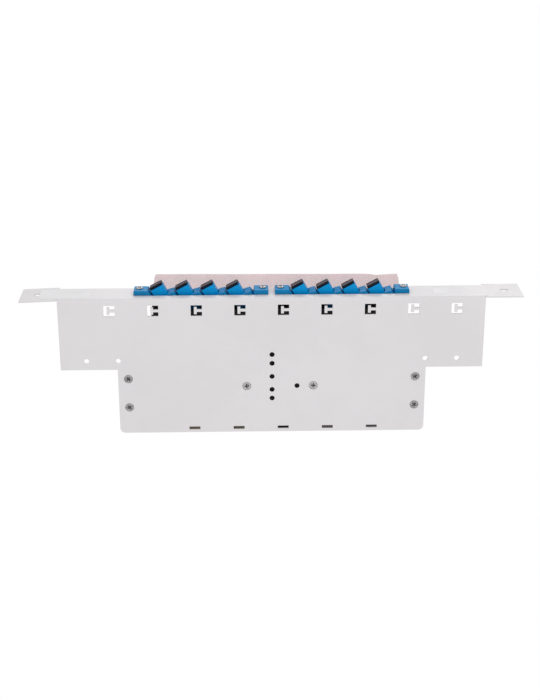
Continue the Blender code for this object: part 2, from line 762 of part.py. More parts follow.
def adapter_mesh():
    low = -ADAPTER_FRONT
    high = ADAPTER_LENGTH - ADAPTER_FRONT
    half_width = ADAPTER_WIDTH / 2
    half_height = ADAPTER_HEIGHT / 2
    shell = boxes("adapter_shell", [(-half_width, half_width, low, high, -half_height, half_height)])
    shell = bevel_edges(shell, long_edges, ADAPTER_EDGE, 2)
    collar_low = HOLDER_WALL * COS_TILT + COLLAR_STEP + CLEAR
    collar = boxes(
        "collar",
        [
            (
                -COLLAR_WIDTH / 2,
                COLLAR_WIDTH / 2,
                collar_low,
                collar_low + COLLAR_THICK,
                -COLLAR_HEIGHT / 2,
                COLLAR_HEIGHT / 2,
            )
        ],
    )
    cuts = []
    outward = ((low, 1), (high, -1))
    for end, inward in outward:
        mouth = sorted((end - inward * OVERRUN, end + inward * (PORT_DEPTH - TUBE_REACH)))
        port = (-PORT_WIDTH / 2, PORT_WIDTH / 2, *mouth, -PORT_HEIGHT / 2, PORT_HEIGHT / 2)
        cuts.append(boxes("mouth", [port]))
        keyway = sorted((end - inward * OVERRUN, end + inward * KEYWAY_DEPTH))
        notch = (-KEYWAY_WIDTH / 2, KEYWAY_WIDTH / 2, *keyway, 0, half_height + OVERRUN)
        cuts.append(boxes("keyway", [notch]))
        rim = [
            (-PORT_WIDTH / 2, -PORT_HEIGHT / 2),
            (PORT_WIDTH / 2, -PORT_HEIGHT / 2),
            (PORT_WIDTH / 2, PORT_HEIGHT / 2),
            (-PORT_WIDTH / 2, PORT_HEIGHT / 2),
        ]
        ring = sorted((end + inward * (PORT_DEPTH - TUBE_REACH - CLEAR), end + inward * PORT_DEPTH))
        socket = outline_solid("socket", [rim, circle(TUBE_RADIUS, FACETS_MEDIUM)], -ring[1], -ring[0])
        socket.transform(Matrix.Rotation(math.pi / 2, 4, "X"))
        cuts.append(socket)
    core_low = low + PORT_DEPTH - TUBE_REACH
    core_high = high - PORT_DEPTH + TUBE_REACH
    pocket = SLEEVE_RADIUS + CLEAR
    bore = [
        (0, core_high + OVERRUN),
        (TUBE_MOUTH, core_high + OVERRUN),
        (TUBE_MOUTH, core_high - TUBE_LIP),
        (pocket, core_high - TUBE_LIP),
        (pocket, core_low + TUBE_LIP),
        (TUBE_MOUTH, core_low + TUBE_LIP),
        (TUBE_MOUTH, core_low - OVERRUN),
        (0, core_low - OVERRUN),
    ]
    bore_mesh = turned_mesh("bore", bore, FACETS_SMALL)
    bore_mesh.transform(Matrix.Rotation(-math.pi / 2, 4, "X"))
    cuts.append(bore_mesh)
    return smooth_mesh(combine("adapter", shell, cuts, [collar]))


def sleeve_mesh():
    core_low = -ADAPTER_FRONT + PORT_DEPTH - TUBE_REACH
    core_high = ADAPTER_LENGTH - ADAPTER_FRONT - PORT_DEPTH + TUBE_REACH
    low = core_low + TUBE_LIP + CLEAR
    high = core_high - TUBE_LIP - CLEAR
    ring = outline_solid(
        "sleeve", [circle(SLEEVE_RADIUS, FACETS_SMALL), circle(SLEEVE_BORE, FACETS_SMALL)], low, high
    )
    half_slot = SLEEVE_SLOT / 2
    slot = (-half_slot, half_slot, 0, SLEEVE_RADIUS + OVERRUN, low - OVERRUN, high + OVERRUN)
    split = combine("sleeve_body", ring, [boxes("sleeve_slot", [slot])])
    split.transform(Matrix.Rotation(-math.pi / 2, 4, "X"))
    return smooth_mesh(split)


def cap_mesh():
    face = (-CAP_WIDTH / 2, CAP_WIDTH / 2, -CAP_THICK, 0, -CAP_HEIGHT / 2, CAP_HEIGHT / 2)
    head = boxes("cap_head", [face])

    def front_edges(first, second):
        return max(first.y, second.y) < -CAP_THICK + WELD

    head = bevel_edges(head, front_edges, CAP_EDGE, 1)
    plug_width = PORT_WIDTH / 2 - CLEAR
    plug_height = PORT_HEIGHT / 2 - CLEAR
    core = (-plug_width, plug_width, -CAP_THICK / 2, PLUG_LENGTH, -plug_height, plug_height)
    plug = boxes("cap_plug", [core])
    bore_start = PLUG_LENGTH - PLUG_BORE_DEPTH
    bore = rods("cap_bore", [(0, 0)], PLUG_BORE, bore_start, PLUG_LENGTH + OVERRUN, FACETS_SMALL, True)
    return combine("dust_cap", head, [bore], [plug])


def make_adapters():
    body = adapter_mesh()
    sleeve = sleeve_mesh()
    cap = cap_mesh()
    rear_reach = ADAPTER_LENGTH - ADAPTER_FRONT + CLEAR
    for count, (seat_x, seat_y) in enumerate(adapter_seats()):
        number = str(count + 1)
        seat = Matrix.Translation((seat_x, seat_y, HOLDER_MIDDLE)) @ Matrix.Rotation(-TILT, 4, "Z")
        front = seat @ Matrix.Translation((0, -ADAPTER_FRONT - CLEAR, 0))
        rear = seat @ Matrix.Translation((0, rear_reach, 0)) @ Matrix.Rotation(math.pi, 4, "Z")
        for name, mesh, material, place in (
            ("adapter_" + number, body, BLUE_ADAPTER, seat),
            ("split_sleeve_" + number, sleeve, CERAMIC, seat),
            ("front_dust_cap_" + number, cap, DARK_CAP, front),
            ("rear_dust_cap_" + number, cap, DARK_CAP, rear),
        ):
            piece = add_object(name, mesh, material)
            piece.matrix_basis = place


# Splice tray and combs

def tray_shell():
    bm = bmesh.new()
    size = (TRAY_WIDTH, TRAY_BACK - TRAY_FRONT, TRAY_TOP - FLOOR_TOP, 1)
    middle = (TRAY_MIDDLE, (TRAY_BACK + TRAY_FRONT) / 2, (TRAY_TOP + FLOOR_TOP) / 2)
    bmesh.ops.create_cube(bm, size=1, matrix=Matrix.Translation(middle) @ Matrix.Diagonal(size))
    bm.normal_update()
    corners = [
        edge
        for edge in bm.edges
        if abs(edge.verts[0].co.z - edge.verts[1].co.z) > TRAY_WALL and edge.verts[0].co.y > middle[1]
    ]
    bmesh.ops.bevel(
        bm, geom=corners, offset=TRAY_CORNER, segments=FOLD_STEPS, profile=0.5, affect="EDGES", material=-1
    )
    bm.normal_update()
    open_faces = [face for face in bm.faces if face.normal.z > HALF_SHARE or face.normal.y < -HALF_SHARE]
    bmesh.ops.delete(bm, geom=open_faces, context="FACES")
    return thicken(bm, "tray_shell", TRAY_WALL)


def tray_fingers():
    spans = []
    high = TRAY_TOP - FINGER_DROP
    low = high - FINGER_THICK
    left = -TRAY_LEFT + TRAY_WALL / 2
    right = TRAY_RIGHT - TRAY_WALL / 2
    for near in (ENTRY_BACK + ENTRY_WIDTH / 2 + FINGER_GAP, TRAY_BACK - FINGER_REAR):
        far = near + FINGER_WIDTH
        spans.append((left, left + TRAY_WALL / 2 + FINGER_LENGTH, near, far, low, high))
        spans.append((right - TRAY_WALL / 2 - FINGER_LENGTH, right, near, far, low, high))
    for share in FINGER_SPREAD_SHARES:
        centre = TRAY_MIDDLE + TRAY_WIDTH * (share - HALF_SHARE)
        inner = TRAY_BACK - TRAY_WALL - FINGER_LENGTH
        outer = TRAY_BACK - TRAY_WALL / 2
        spans.append((centre - FINGER_WIDTH / 2, centre + FINGER_WIDTH / 2, inner, outer, low, high))
    return boxes("tray_fingers", spans)


def tray_drums():
    drums = bmesh.new()
    inner = DRUM_RADIUS - DRUM_WALL
    for side in (-1, 1):
        centre = (TRAY_MIDDLE + side * DRUM_SPREAD, DRUM_BACK)
        loops = [circle(DRUM_RADIUS, FACETS_LARGE, centre), circle(inner, FACETS_LARGE, centre)]
        drums.from_mesh(outline_solid("drum", loops, TRAY_DECK - TRAY_WALL / 2, TRAY_DECK + DRUM_HEIGHT))
    return finish_mesh(drums, "tray_drums")


def make_tray():
    thing = add_object("splice_tray", tray_shell(), BLACK_MOULD)
    root = TRAY_DECK - TRAY_WALL / 2
    bosses = rods("bosses", TRAY_SCREWS, BOSS_RADIUS, root, TRAY_DECK + BOSS_HEIGHT, FACETS_MEDIUM)
    posts = rods("posts", RIVET_PLACES, POST_RADIUS, root, TRAY_TOP, FACETS_SMALL)
    boolean(thing, add_tool("tray_bosses", bosses), "UNION")
    boolean(thing, add_tool("tray_posts", posts), "UNION")
    boolean(thing, add_tool("tray_drum_rings", tray_drums()), "UNION")
    boolean(thing, add_tool("tray_finger_bars", tray_fingers()), "UNION")
    entry_low = TRAY_TOP - ENTRY_DROP
    near = ENTRY_BACK - ENTRY_WIDTH / 2
    far = ENTRY_BACK + ENTRY_WIDTH / 2
    entries = [
        (-TRAY_LEFT - OVERRUN, -TRAY_LEFT + TRAY_WALL + OVERRUN, near, far, entry_low, TRAY_TOP + OVERRUN),
        (TRAY_RIGHT - TRAY_WALL - OVERRUN, TRAY_RIGHT + OVERRUN, near, far, entry_low, TRAY_TOP + OVERRUN),
    ]
    boolean(thing, add_tool("tray_entry_cutter", boxes("entries", entries)))
    screw_bore = SCREW_SHANK / 2 + CLEAR
    screw_top = SCREW_SINK + SCREW_LENGTH + CLEAR
    screw_low = FLOOR_TOP - OVERRUN
    screw_holes = rods("tray_screw_holes", TRAY_SCREWS, screw_bore, screw_low, screw_top, FACETS_SMALL)
    boolean(thing, add_tool("tray_screw_cutter", screw_holes))
    rivet_low = FILM_BOTTOM + FILM - RIVET_LENGTH - CLEAR
    rivet_bore = RIVET_SHANK + CLEAR
    rivet_holes = rods("rivet_holes", RIVET_PLACES, rivet_bore, rivet_low, TRAY_TOP + OVERRUN, FACETS_SMALL)
    boolean(thing, add_tool("tray_rivet_cutter", rivet_holes))
    return thing


def comb_mesh():
    width = COMB_SLOTS * COMB_PITCH + COMB_FIN
    points = [(-width / 2, 0), (width / 2, 0)]
    for count in range(COMB_SLOTS + 1):
        high = width / 2 - count * COMB_PITCH
        points += [(high, COMB_HEIGHT), (high - COMB_FIN, COMB_HEIGHT)]
        if count < COMB_SLOTS:
            points += [(high - COMB_FIN, COMB_BASE), (high - COMB_PITCH, COMB_BASE)]
    mesh = outline_solid("comb", [points], -COMB_LENGTH / 2, COMB_LENGTH / 2)
    upright = Matrix.Rotation(math.pi / 2, 4, "Z") @ Matrix.Rotation(math.pi / 2, 4, "X")
    mesh.transform(upright)
    return mesh


def make_combs():
    mesh = comb_mesh()
    for name, back in (("splice_comb_front", COMB_FRONT), ("splice_comb_rear", COMB_REAR)):
        comb = add_object(name, mesh, GREY_MOULD)
        comb.location = (TRAY_SCREW_MID, back, TRAY_DECK + CLEAR)


# Side brackets

def bracket_mesh():
    front = SIDE_SCREW_FRONT - BRACKET_MARGIN
    back = SIDE_SCREW_BACK + BRACKET_MARGIN
    outer = NECK_WIDTH / 2 - BRACKET_EDGE
    profile = [(outer - BRACKET_FOOT, FLOOR_TOP), (outer, FLOOR_TOP), (outer, FLOOR_TOP + BRACKET_HEIGHT)]
    angle = thicken(fold_surface(profile, front, back), "bracket_angle", SHEET)
    turn = Matrix(((0, 1, 0, 0), (1, 0, 0, 0), (0, 0, 1, 0), (0, 0, 0, 1)))
    angle.transform(turn)
    angle.flip_normals()
    places = [(SIDE_SCREW_X, SIDE_SCREW_FRONT), (SIDE_SCREW_X, SIDE_SCREW_BACK)]
    top = FLOOR_TOP + SHEET
    collets = rods("collets", places, COLLET_RADIUS, top - SHEET / 2, top + COLLET_HEIGHT, FACETS_MEDIUM)
    bores = rods(
        "bracket_bores",
        places,
        SCREW_SHANK / 2 + CLEAR,
        FLOOR_TOP - OVERRUN,
        top + COLLET_HEIGHT + OVERRUN,
        FACETS_SMALL,
    )
    slots = boxes(
        "bracket_slots",
        [
            (
                outer - SHEET - OVERRUN,
                outer + OVERRUN,
                place_back - SLOT_LENGTH / 2,
                place_back + SLOT_LENGTH / 2,
                FLOOR_TOP + BRACKET_SLOT_UP - SLOT_WIDTH / 2,
                FLOOR_TOP + BRACKET_SLOT_UP + SLOT_WIDTH / 2,
            )
            for _, place_back in places
        ],
    )
    return combine("bracket_body", angle, [bores, slots], [collets])


def make_brackets():
    right = bracket_mesh()
    left = right.copy()
    left.transform(Matrix.Diagonal((-1, 1, 1, 1)))
    left.flip_normals()
    add_object("side_bracket_right", right, ZINC)
    add_object("side_bracket_left", left, ZINC)


# Cover film and its push rivets

def film_edge(column):
    start, deepest, end = FILM_DIP_SHARES
    falling = min(1, max(0, (column - start) / (deepest - start)))
    rising = min(1, max(0, (column - deepest) / (end - deepest)))
    return FILM_SKEW * column + FILM_DIP * (falling - rising) - FILM_REACH


def film_lift(column, across, ahead):
    wave = FILM_WAVE * HALF_SHARE * (1 - math.cos(2 * math.pi * FILM_WAVE_COUNT * column))
    corner = max(0, 1 - (FILM_RIGHT - across) / FILM_CURL_LENGTH)
    return ahead * ahead * (wave + FILM_CURL * corner * corner)


def make_film():
    bm = bmesh.new()
    bmesh.ops.create_grid(bm, x_segments=FILM_COLUMNS, y_segments=FILM_ROWS, size=HALF_SHARE)
    for point in bm.verts:
        column = point.co.x + HALF_SHARE
        row = point.co.y + HALF_SHARE
        edge = film_edge(column)
        back = edge + (FILM_BACK - edge) * row * row
        ahead = max(0, back / edge)
        width = TRAY_WIDTH - 2 * FILM_TAPER * ahead * math.sqrt(ahead)
        across = TRAY_MIDDLE + width * point.co.x
        lift = film_lift(column, across, ahead)
        point.co = (across, back, FILM_BOTTOM + FILM + lift)
    mesh = bpy.data.meshes.new("film_sheet")
    bm.normal_update()
    bm.to_mesh(mesh)
    bm.free()
    sheet = bpy.data.objects.new("film_sheet", mesh)
    CUTTERS.objects.link(sheet)
    solid = sheet.modifiers.new("thickness", "SOLIDIFY")
    solid.thickness = FILM
    solid.offset = -1
    holes = rods(
        "film_holes",
        RIVET_PLACES,
        RIVET_SHANK + CLEAR,
        FILM_BOTTOM - OVERRUN,
        FILM_BOTTOM + FILM + OVERRUN,
        FACETS_SMALL,
    )
    cut = smooth_mesh(combine("film_cut", bake(sheet), [holes]))
    add_object("cover_film", cut, FILM_CLEAR)


def make_rivets():
    head = RIVET_HEAD
    shank = RIVET_SHANK
    profile = [(head * out, RIVET_DOME * up) for out, up in RIVET_DOME_SHARES]
    profile += [
        (shank, 0),
        (shank, shank - RIVET_LENGTH),
        (shank * RIVET_TIP_SHARE, -RIVET_LENGTH),
        (0, -RIVET_LENGTH),
    ]
    mesh = turned_mesh("push_rivet", profile, FACETS_SMALL)
    for name, (across, back) in zip(("left", "middle", "right"), RIVET_PLACES):
        rivet = add_object("film_rivet_" + name, mesh, BLACK_MOULD)
        rivet.location = (across, back, FILM_BOTTOM + FILM + CLEAR)


clear_scene()
PARTS = make_collection("fibre_patch_panel")
CUTTERS = make_collection("cutters")
ORIGIN = bpy.data.objects.new("panel_origin", None)
PARTS.objects.link(ORIGIN)
ORIGIN.location = (0, -ORIGIN_BACK, 0)

WHITE_COAT = make_material("white_coat", (0.70, 0.69, 0.71), 0.45)
STEEL = make_material("zinc_steel", (0.42, 0.42, 0.42), 0.35, 1.0)
BRIGHT_STEEL = make_material("bright_steel", (0.75, 0.75, 0.76), 0.25, 1.0)
ZINC = make_material("zinc_sheet", (0.60, 0.61, 0.62), 0.40, 1.0)
BLUE_MOULD = make_material("blue_holder", (0.02, 0.20, 0.42), 0.40)
BLUE_ADAPTER = make_material("blue_adapter", (0.005, 0.18, 0.55), 0.35)
DARK_CAP = make_material("dark_cap", (0.10, 0.09, 0.10), 0.50)
CERAMIC = make_material("white_ceramic", (0.85, 0.84, 0.80), 0.25)
BLACK_MOULD = make_material("black_mould", (0.012, 0.011, 0.011), 0.50)
GREY_MOULD = make_material("grey_mould", (0.35, 0.35, 0.36), 0.50)
FILM_CLEAR = make_material("tinted_film", (0.66, 0.55, 0.58), 0.30, 0.0, 0.6)

make_chassis()
make_floor_screws()
make_holders()
make_adapters()
make_tray()
make_combs()
make_brackets()
make_film()
make_rivets()
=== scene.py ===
import math

import bmesh
import bpy
from mathutils import Matrix, Vector


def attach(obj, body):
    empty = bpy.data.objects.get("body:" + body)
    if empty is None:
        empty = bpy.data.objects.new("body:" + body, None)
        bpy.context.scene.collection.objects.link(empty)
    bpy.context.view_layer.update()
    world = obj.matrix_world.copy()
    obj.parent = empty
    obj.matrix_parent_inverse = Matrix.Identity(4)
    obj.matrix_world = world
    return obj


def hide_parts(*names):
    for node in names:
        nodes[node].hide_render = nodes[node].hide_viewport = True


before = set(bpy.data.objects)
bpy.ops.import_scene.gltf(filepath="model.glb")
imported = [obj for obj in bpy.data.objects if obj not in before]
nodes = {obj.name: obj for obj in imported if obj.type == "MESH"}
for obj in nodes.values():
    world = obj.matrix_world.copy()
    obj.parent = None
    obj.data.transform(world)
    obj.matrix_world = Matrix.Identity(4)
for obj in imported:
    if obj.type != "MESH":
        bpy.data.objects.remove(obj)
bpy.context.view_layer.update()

# lengths are in metres, and those given in mm are multiplied by this
mm = 0.001
weldGap = 0.00001
seamGap = 0.000001
print("frame loaded:", len(nodes), "nodes")


# Small helpers

def isVert(item):
    return isinstance(item, bmesh.types.BMVert)


def isEdge(item):
    return isinstance(item, bmesh.types.BMEdge)


def bevelEdges(bm, edges, width, segments):
    bmesh.ops.bevel(
        bm, geom=edges, offset=width, offset_type="OFFSET", segments=segments,
        profile=0.5, affect="EDGES", clamp_overlap=True, material=-1,
    )


def scaleTo(bm, size, centre):
    bmesh.ops.scale(bm, vec=size, verts=bm.verts)
    bmesh.ops.translate(bm, verts=bm.verts, vec=centre)


def finishMesh(name, bm, materials, smoothAngle):
    bmesh.ops.remove_doubles(bm, verts=bm.verts, dist=seamGap)
    bmesh.ops.recalc_face_normals(bm, faces=bm.faces)
    mesh = bpy.data.meshes.new(name)
    bm.to_mesh(mesh)
    bm.free()
    for material in materials:
        mesh.materials.append(material)
    mesh.shade_smooth()
    mesh.set_sharp_from_angle(angle=math.radians(smoothAngle))
    return mesh


def addPiece(name, mesh, body, stands=(), place=None):
    # the object stays at the origin and its place goes into its mesh
    if place is not None:
        mesh = mesh.copy()
        mesh.transform(place)
    piece = bpy.data.objects.new(name, mesh)
    bpy.context.scene.collection.objects.link(piece)
    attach(piece, body)
    if stands:
        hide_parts(*stands)
    return piece


def nodeEnds(node, turn=0):
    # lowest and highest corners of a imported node, measured in a frame turned about Z
    unturn = Matrix.Rotation(-math.radians(turn), 3, "Z")
    spots = [unturn @ vert.co for vert in nodes[node].data.vertices]
    low = Vector([min(spot[axis] for spot in spots) for axis in range(3)])
    high = Vector([max(spot[axis] for spot in spots) for axis in range(3)])
    return low, high


# Camera

cameraSettings = {
    "place": (-0.0284, -0.5118, -1.2514),
    "looks": (0.0196, 0.3720, 0.9280),
    "imageUp": (0.0096, -0.9282, 0.3719),
    "focalPixels": 1393.0,
    "longSidePixels": 700.0,
    "sensor": 36.0,
    "nearest": 0.01,
    "furthest": 50.0,
}


def makeCamera():
    settings = cameraSettings
    data = bpy.data.cameras.new("camera")
    data.sensor_fit = "AUTO"
    data.sensor_width = settings["sensor"]
    data.lens = settings["focalPixels"] / settings["longSidePixels"] * settings["sensor"]
    data.clip_start = settings["nearest"]
    data.clip_end = settings["furthest"]
    camera = bpy.data.objects.new("camera", data)
    bpy.context.scene.collection.objects.link(camera)
    back = -Vector(settings["looks"]).normalized()
    right = Vector(settings["imageUp"]).cross(back).normalized()
    up = back.cross(right)
    turn = Matrix((right, up, back)).transposed().to_4x4()
    camera.matrix_world = Matrix.Translation(settings["place"]) @ turn
    bpy.context.scene.camera = camera


makeCamera()
print("camera placed")


# Shader node helpers

def link(tree, source, target):
    tree.links.new(source, target)


def calc(tree, operation, first, second=None, clamp=False):
    node = tree.nodes.new("ShaderNodeMath")
    node.operation = operation
    node.use_clamp = clamp
    for socket, value in zip(node.inputs, (first, second)):
        if value is None:
            continue
        if isinstance(value, (int, float)):
            socket.default_value = value
        else:
            link(tree, value, socket)
    return node.outputs[0]


def product(tree, first, *others):
    for other in others:
        first = calc(tree, "MULTIPLY", first, other)
    return first


def distanceFrom(tree, value, middle):
    return calc(tree, "ABSOLUTE", calc(tree, "SUBTRACT", value, middle))


def splitAxes(tree, vector):
    node = tree.nodes.new("ShaderNodeSeparateXYZ")
    link(tree, vector, node.inputs[0])
    return node.outputs


def objectAxes(tree):
    return splitAxes(tree, tree.nodes.new("ShaderNodeTexCoord").outputs["Object"])


def ramp(tree, value, low, high, toLow=0.0, toHigh=1.0):
    node = tree.nodes.new("ShaderNodeMapRange")
    node.interpolation_type = "SMOOTHSTEP"
    ends = (("From Min", low), ("From Max", high), ("To Min", toLow), ("To Max", toHigh))
    for label, number in ends:
        if isinstance(number, (int, float)):
            node.inputs[label].default_value = number
        else:
            link(tree, number, node.inputs[label])
    link(tree, value, node.inputs["Value"])
    return node.outputs["Result"]


def noise(tree, scale, detail=2.0, roughness=0.5, stretch=None, turn=0.0):
    spot = tree.nodes.new("ShaderNodeTexCoord")
    texture = tree.nodes.new("ShaderNodeTexNoise")
    texture.inputs["Detail"].default_value = detail
    texture.inputs["Roughness"].default_value = roughness
    source = spot.outputs["Object"]
    if stretch:
        mapping = tree.nodes.new("ShaderNodeMapping")
        mapping.inputs["Scale"].default_value = stretch
        mapping.inputs["Rotation"].default_value = (0, 0, turn)
        link(tree, source, mapping.inputs["Vector"])
        source = mapping.outputs["Vector"]
    link(tree, source, texture.inputs["Vector"])
    if isinstance(scale, (int, float)):
        texture.inputs["Scale"].default_value = scale
    else:
        link(tree, scale, texture.inputs["Scale"])
    return texture.outputs["Fac"]


def mixColour(tree, factor, first, second):
    node = tree.nodes.new("ShaderNodeMix")
    node.data_type = "RGBA"
    for label, value in (("Factor", factor), ("A", first), ("B", second)):
        socket = next(s for s in node.inputs if s.name == label and s.enabled)
        if isinstance(value, tuple):
            socket.default_value = (*value, 1)
        elif isinstance(value, (int, float)):
            socket.default_value = value
        else:
            link(tree, value, socket)
    return next(s for s in node.outputs if s.enabled)


def seenRays(tree, path):
    # rays that show a thing itself: straight on, in a reflection or through something clear
    seen = calc(tree, "ADD", path.outputs["Is Camera Ray"], path.outputs["Is Glossy Ray"], True)
    return calc(tree, "ADD", seen, path.outputs["Is Transmission Ray"], True)


# Light, world and floor

lightSettings = {
    "ambient": 0.63,
    "seenWhite": 1.0,
    "lamps": {
        # name: place, size in metres, watts
        "softboxFrontBelow": ((0.12, -1.80, -1.15), 1.6, 12.4),
        "softboxUnder": ((0.15, 0.35, -1.90), 1.6, 11.9),
        "softboxFrontAbove": ((0.20, -1.25, 1.55), 1.3, 10.6),
        "softboxBackAbove": ((0.95, 1.05, 1.35), 1.1, 9.0),
    },
    "aim": (0.0, 0.0, 0.019),
}
floorSettings = {
    "height": -0.0012,
    "reach": 2.4,
    "fadeStart": 0.45,
    "fadeEnd": 1.6,
    "colour": (0.93, 0.93, 0.935),
    "rough": 0.9,
    "specular": 0.1,
}


def makeWorld():
    world = bpy.data.worlds.new("paleRoom")
    bpy.context.scene.world = world
    world.use_nodes = True
    tree = world.node_tree
    tree.nodes.clear()
    path = tree.nodes.new("ShaderNodeLightPath")
    mix = tree.nodes.new("ShaderNodeMixShader")
    out = tree.nodes.new("ShaderNodeOutputWorld")
    link(tree, seenRays(tree, path), mix.inputs["Fac"])
    for socket, strength in ((1, lightSettings["ambient"]), (2, lightSettings["seenWhite"])):
        room = tree.nodes.new("ShaderNodeBackground")
        room.inputs["Color"].default_value = (1, 1, 1, 1)
        room.inputs["Strength"].default_value = strength
        link(tree, room.outputs[0], mix.inputs[socket])
    link(tree, mix.outputs[0], out.inputs["Surface"])


def makeLamps():
    aim = Vector(lightSettings["aim"])
    for name, (place, size, watts) in lightSettings["lamps"].items():
        data = bpy.data.lights.new(name, "AREA")
        data.shape = "SQUARE"
        data.size = size
        data.energy = watts
        lamp = bpy.data.objects.new(name, data)
        bpy.context.scene.collection.objects.link(lamp)
        lamp.location = place
        lamp.rotation_euler = (aim - Vector(place)).to_track_quat("-Z", "Y").to_euler()
        lamp.visible_camera = False


def makeFloorLook():
    # seen only from above, fading out into the white room, and never lighting the object
    settings = floorSettings
    material = bpy.data.materials.new("paleFloor")
    material.use_nodes = True
    tree = material.node_tree
    shader = tree.nodes["Principled BSDF"]
    shader.inputs["Base Color"].default_value = (*settings["colour"], 1)
    shader.inputs["Roughness"].default_value = settings["rough"]
    shader.inputs["Specular IOR Level"].default_value = settings["specular"]
    clear = tree.nodes.new("ShaderNodeBsdfTransparent")
    path = tree.nodes.new("ShaderNodeLightPath")
    side = tree.nodes.new("ShaderNodeNewGeometry")
    spot = tree.nodes.new("ShaderNodeTexCoord")
    length = tree.nodes.new("ShaderNodeVectorMath")
    length.operation = "LENGTH"
    link(tree, spot.outputs["Object"], length.inputs[0])
    fade = ramp(tree, length.outputs["Value"], settings["fadeStart"], settings["fadeEnd"], 1.0, 0.0)
    above = calc(tree, "SUBTRACT", 1.0, side.outputs["Backfacing"])
    mix = tree.nodes.new("ShaderNodeMixShader")
    link(tree, product(tree, seenRays(tree, path), above, fade), mix.inputs["Fac"])
    link(tree, clear.outputs[0], mix.inputs[1])
    link(tree, shader.outputs[0], mix.inputs[2])
    link(tree, mix.outputs[0], tree.nodes["Material Output"].inputs["Surface"])
    return material


def makeFloor():
    bm = bmesh.new()
    bmesh.ops.create_grid(bm, x_segments=2, y_segments=2, size=floorSettings["reach"])
    bmesh.ops.translate(bm, verts=bm.verts, vec=(0, 0, floorSettings["height"]))
    mesh = bpy.data.meshes.new("floor")
    bm.to_mesh(mesh)
    bm.free()
    mesh.materials.append(makeFloorLook())
    floor = bpy.data.objects.new("floor", mesh)
    bpy.context.scene.collection.objects.link(floor)


makeWorld()
makeLamps()
makeFloor()
bpy.context.scene.view_settings.view_transform = "Standard"
print("light, world and floor ready")


# Shared effects, as node groups that put out masks and heights

effects = {
    "peel": {"finerTimes": 3.1, "specksTimes": 1.7, "specksFrom": 0.66, "specksTo": 0.74},
    "patches": {"finerTimes": 7.3, "broadShare": 0.72, "finerShare": 0.28},
    "rub": {
        # stretch of the lines in two directions, and how far they are turned
        "lines": (((1.0, 26.0, 8.0), 0.5), ((30.0, 1.0, 8.0), -0.3)),
        "spread": 0.1,
    },
    "wearAndHighlight": {"samples": 4, "turned": 0.8, "flat": 0.985, "breaksFrom": 0.38, "breaksTo": 0.62},
}


def newGroup(name, inputs, outputs):
    group = bpy.data.node_groups.new(name, "ShaderNodeTree")
    for label, value in inputs.items():
        socket = group.interface.new_socket(label, in_out="INPUT", socket_type="NodeSocketFloat")
        socket.default_value = value
    for label in outputs:
        group.interface.new_socket(label, in_out="OUTPUT", socket_type="NodeSocketFloat")
    entry = group.nodes.new("NodeGroupInput").outputs
    leave = group.nodes.new("NodeGroupOutput").inputs
    return group, entry, leave


def makePeel():
    # orange peel of a powder coat: soft hills with finer ones on them
    own = effects["peel"]
    group, entry, leave = newGroup("coatPeel", {"Grain": 900.0, "Fine": 0.35}, ("Height", "Speckle"))
    hills = noise(group, entry["Grain"], detail=1.0, roughness=0.4)
    finer = noise(group, product(group, entry["Grain"], own["finerTimes"]), detail=2.0, roughness=0.6)
    height = calc(group, "ADD", hills, product(group, finer, entry["Fine"]))
    link(group, height, leave["Height"])
    specks = noise(group, product(group, entry["Grain"], own["specksTimes"]), detail=0.0, roughness=0.5)
    link(group, ramp(group, specks, own["specksFrom"], own["specksTo"]), leave["Speckle"])
    return group


def makePatches():
    # broad uneven patches, such as handling and thin dust
    own = effects["patches"]
    group, entry, leave = newGroup("handledPatches", {"Size": 14.0, "Low": 0.35, "High": 0.68}, ("Mask",))
    broad = noise(group, entry["Size"], detail=3.0, roughness=0.55)
    finer = noise(group, product(group, entry["Size"], own["finerTimes"]), detail=3.0, roughness=0.6)
    broad = product(group, broad, own["broadShare"])
    finer = product(group, finer, own["finerShare"])
    both = calc(group, "ADD", broad, finer)
    link(group, ramp(group, both, entry["Low"], entry["High"]), leave["Mask"])
    return group


def makeRub():
    # fine rub lines in two directions
    own = effects["rub"]
    group, entry, leave = newGroup("rubLines", {"Density": 60.0, "Low": 0.62}, ("Mask",))
    first, second = [
        noise(group, entry["Density"], detail=2.0, roughness=0.6, stretch=stretch, turn=turn)
        for stretch, turn in own["lines"]
    ]
    most = calc(group, "MAXIMUM", first, second)
    high = calc(group, "ADD", entry["Low"], own["spread"])
    link(group, ramp(group, most, entry["Low"], high), leave["Mask"])
    return group


def makeWearAndHighlight():
    # where the surface turns sharply, broken up by noise
    own = effects["wearAndHighlight"]
    group, entry, leave = newGroup("cornerWearAndHighlight", {"Reach": 0.0004, "Break": 900.0}, ("Mask",))
    bevel = group.nodes.new("ShaderNodeBevel")
    bevel.samples = own["samples"]
    link(group, entry["Reach"], bevel.inputs["Radius"])
    flat = group.nodes.new("ShaderNodeNewGeometry")
    dot = group.nodes.new("ShaderNodeVectorMath")
    dot.operation = "DOT_PRODUCT"
    link(group, bevel.outputs["Normal"], dot.inputs[0])
    link(group, flat.outputs["Normal"], dot.inputs[1])
    turned = ramp(group, dot.outputs["Value"], own["turned"], own["flat"], 1.0, 0.0)
    breaks = noise(group, entry["Break"], detail=3.0, roughness=0.6)
    breaks = ramp(group, breaks, own["breaksFrom"], own["breaksTo"])
    link(group, product(group, turned, breaks), leave["Mask"])
    return group


coatPeel = makePeel()
handledPatches = makePatches()
rubLines = makeRub()
cornerWearAndHighlight = makeWearAndHighlight()


def useGroup(tree, group, **values):
    node = tree.nodes.new("ShaderNodeGroup")
    node.node_tree = group
    for label, value in values.items():
        node.inputs[label].default_value = value
    return node.outputs


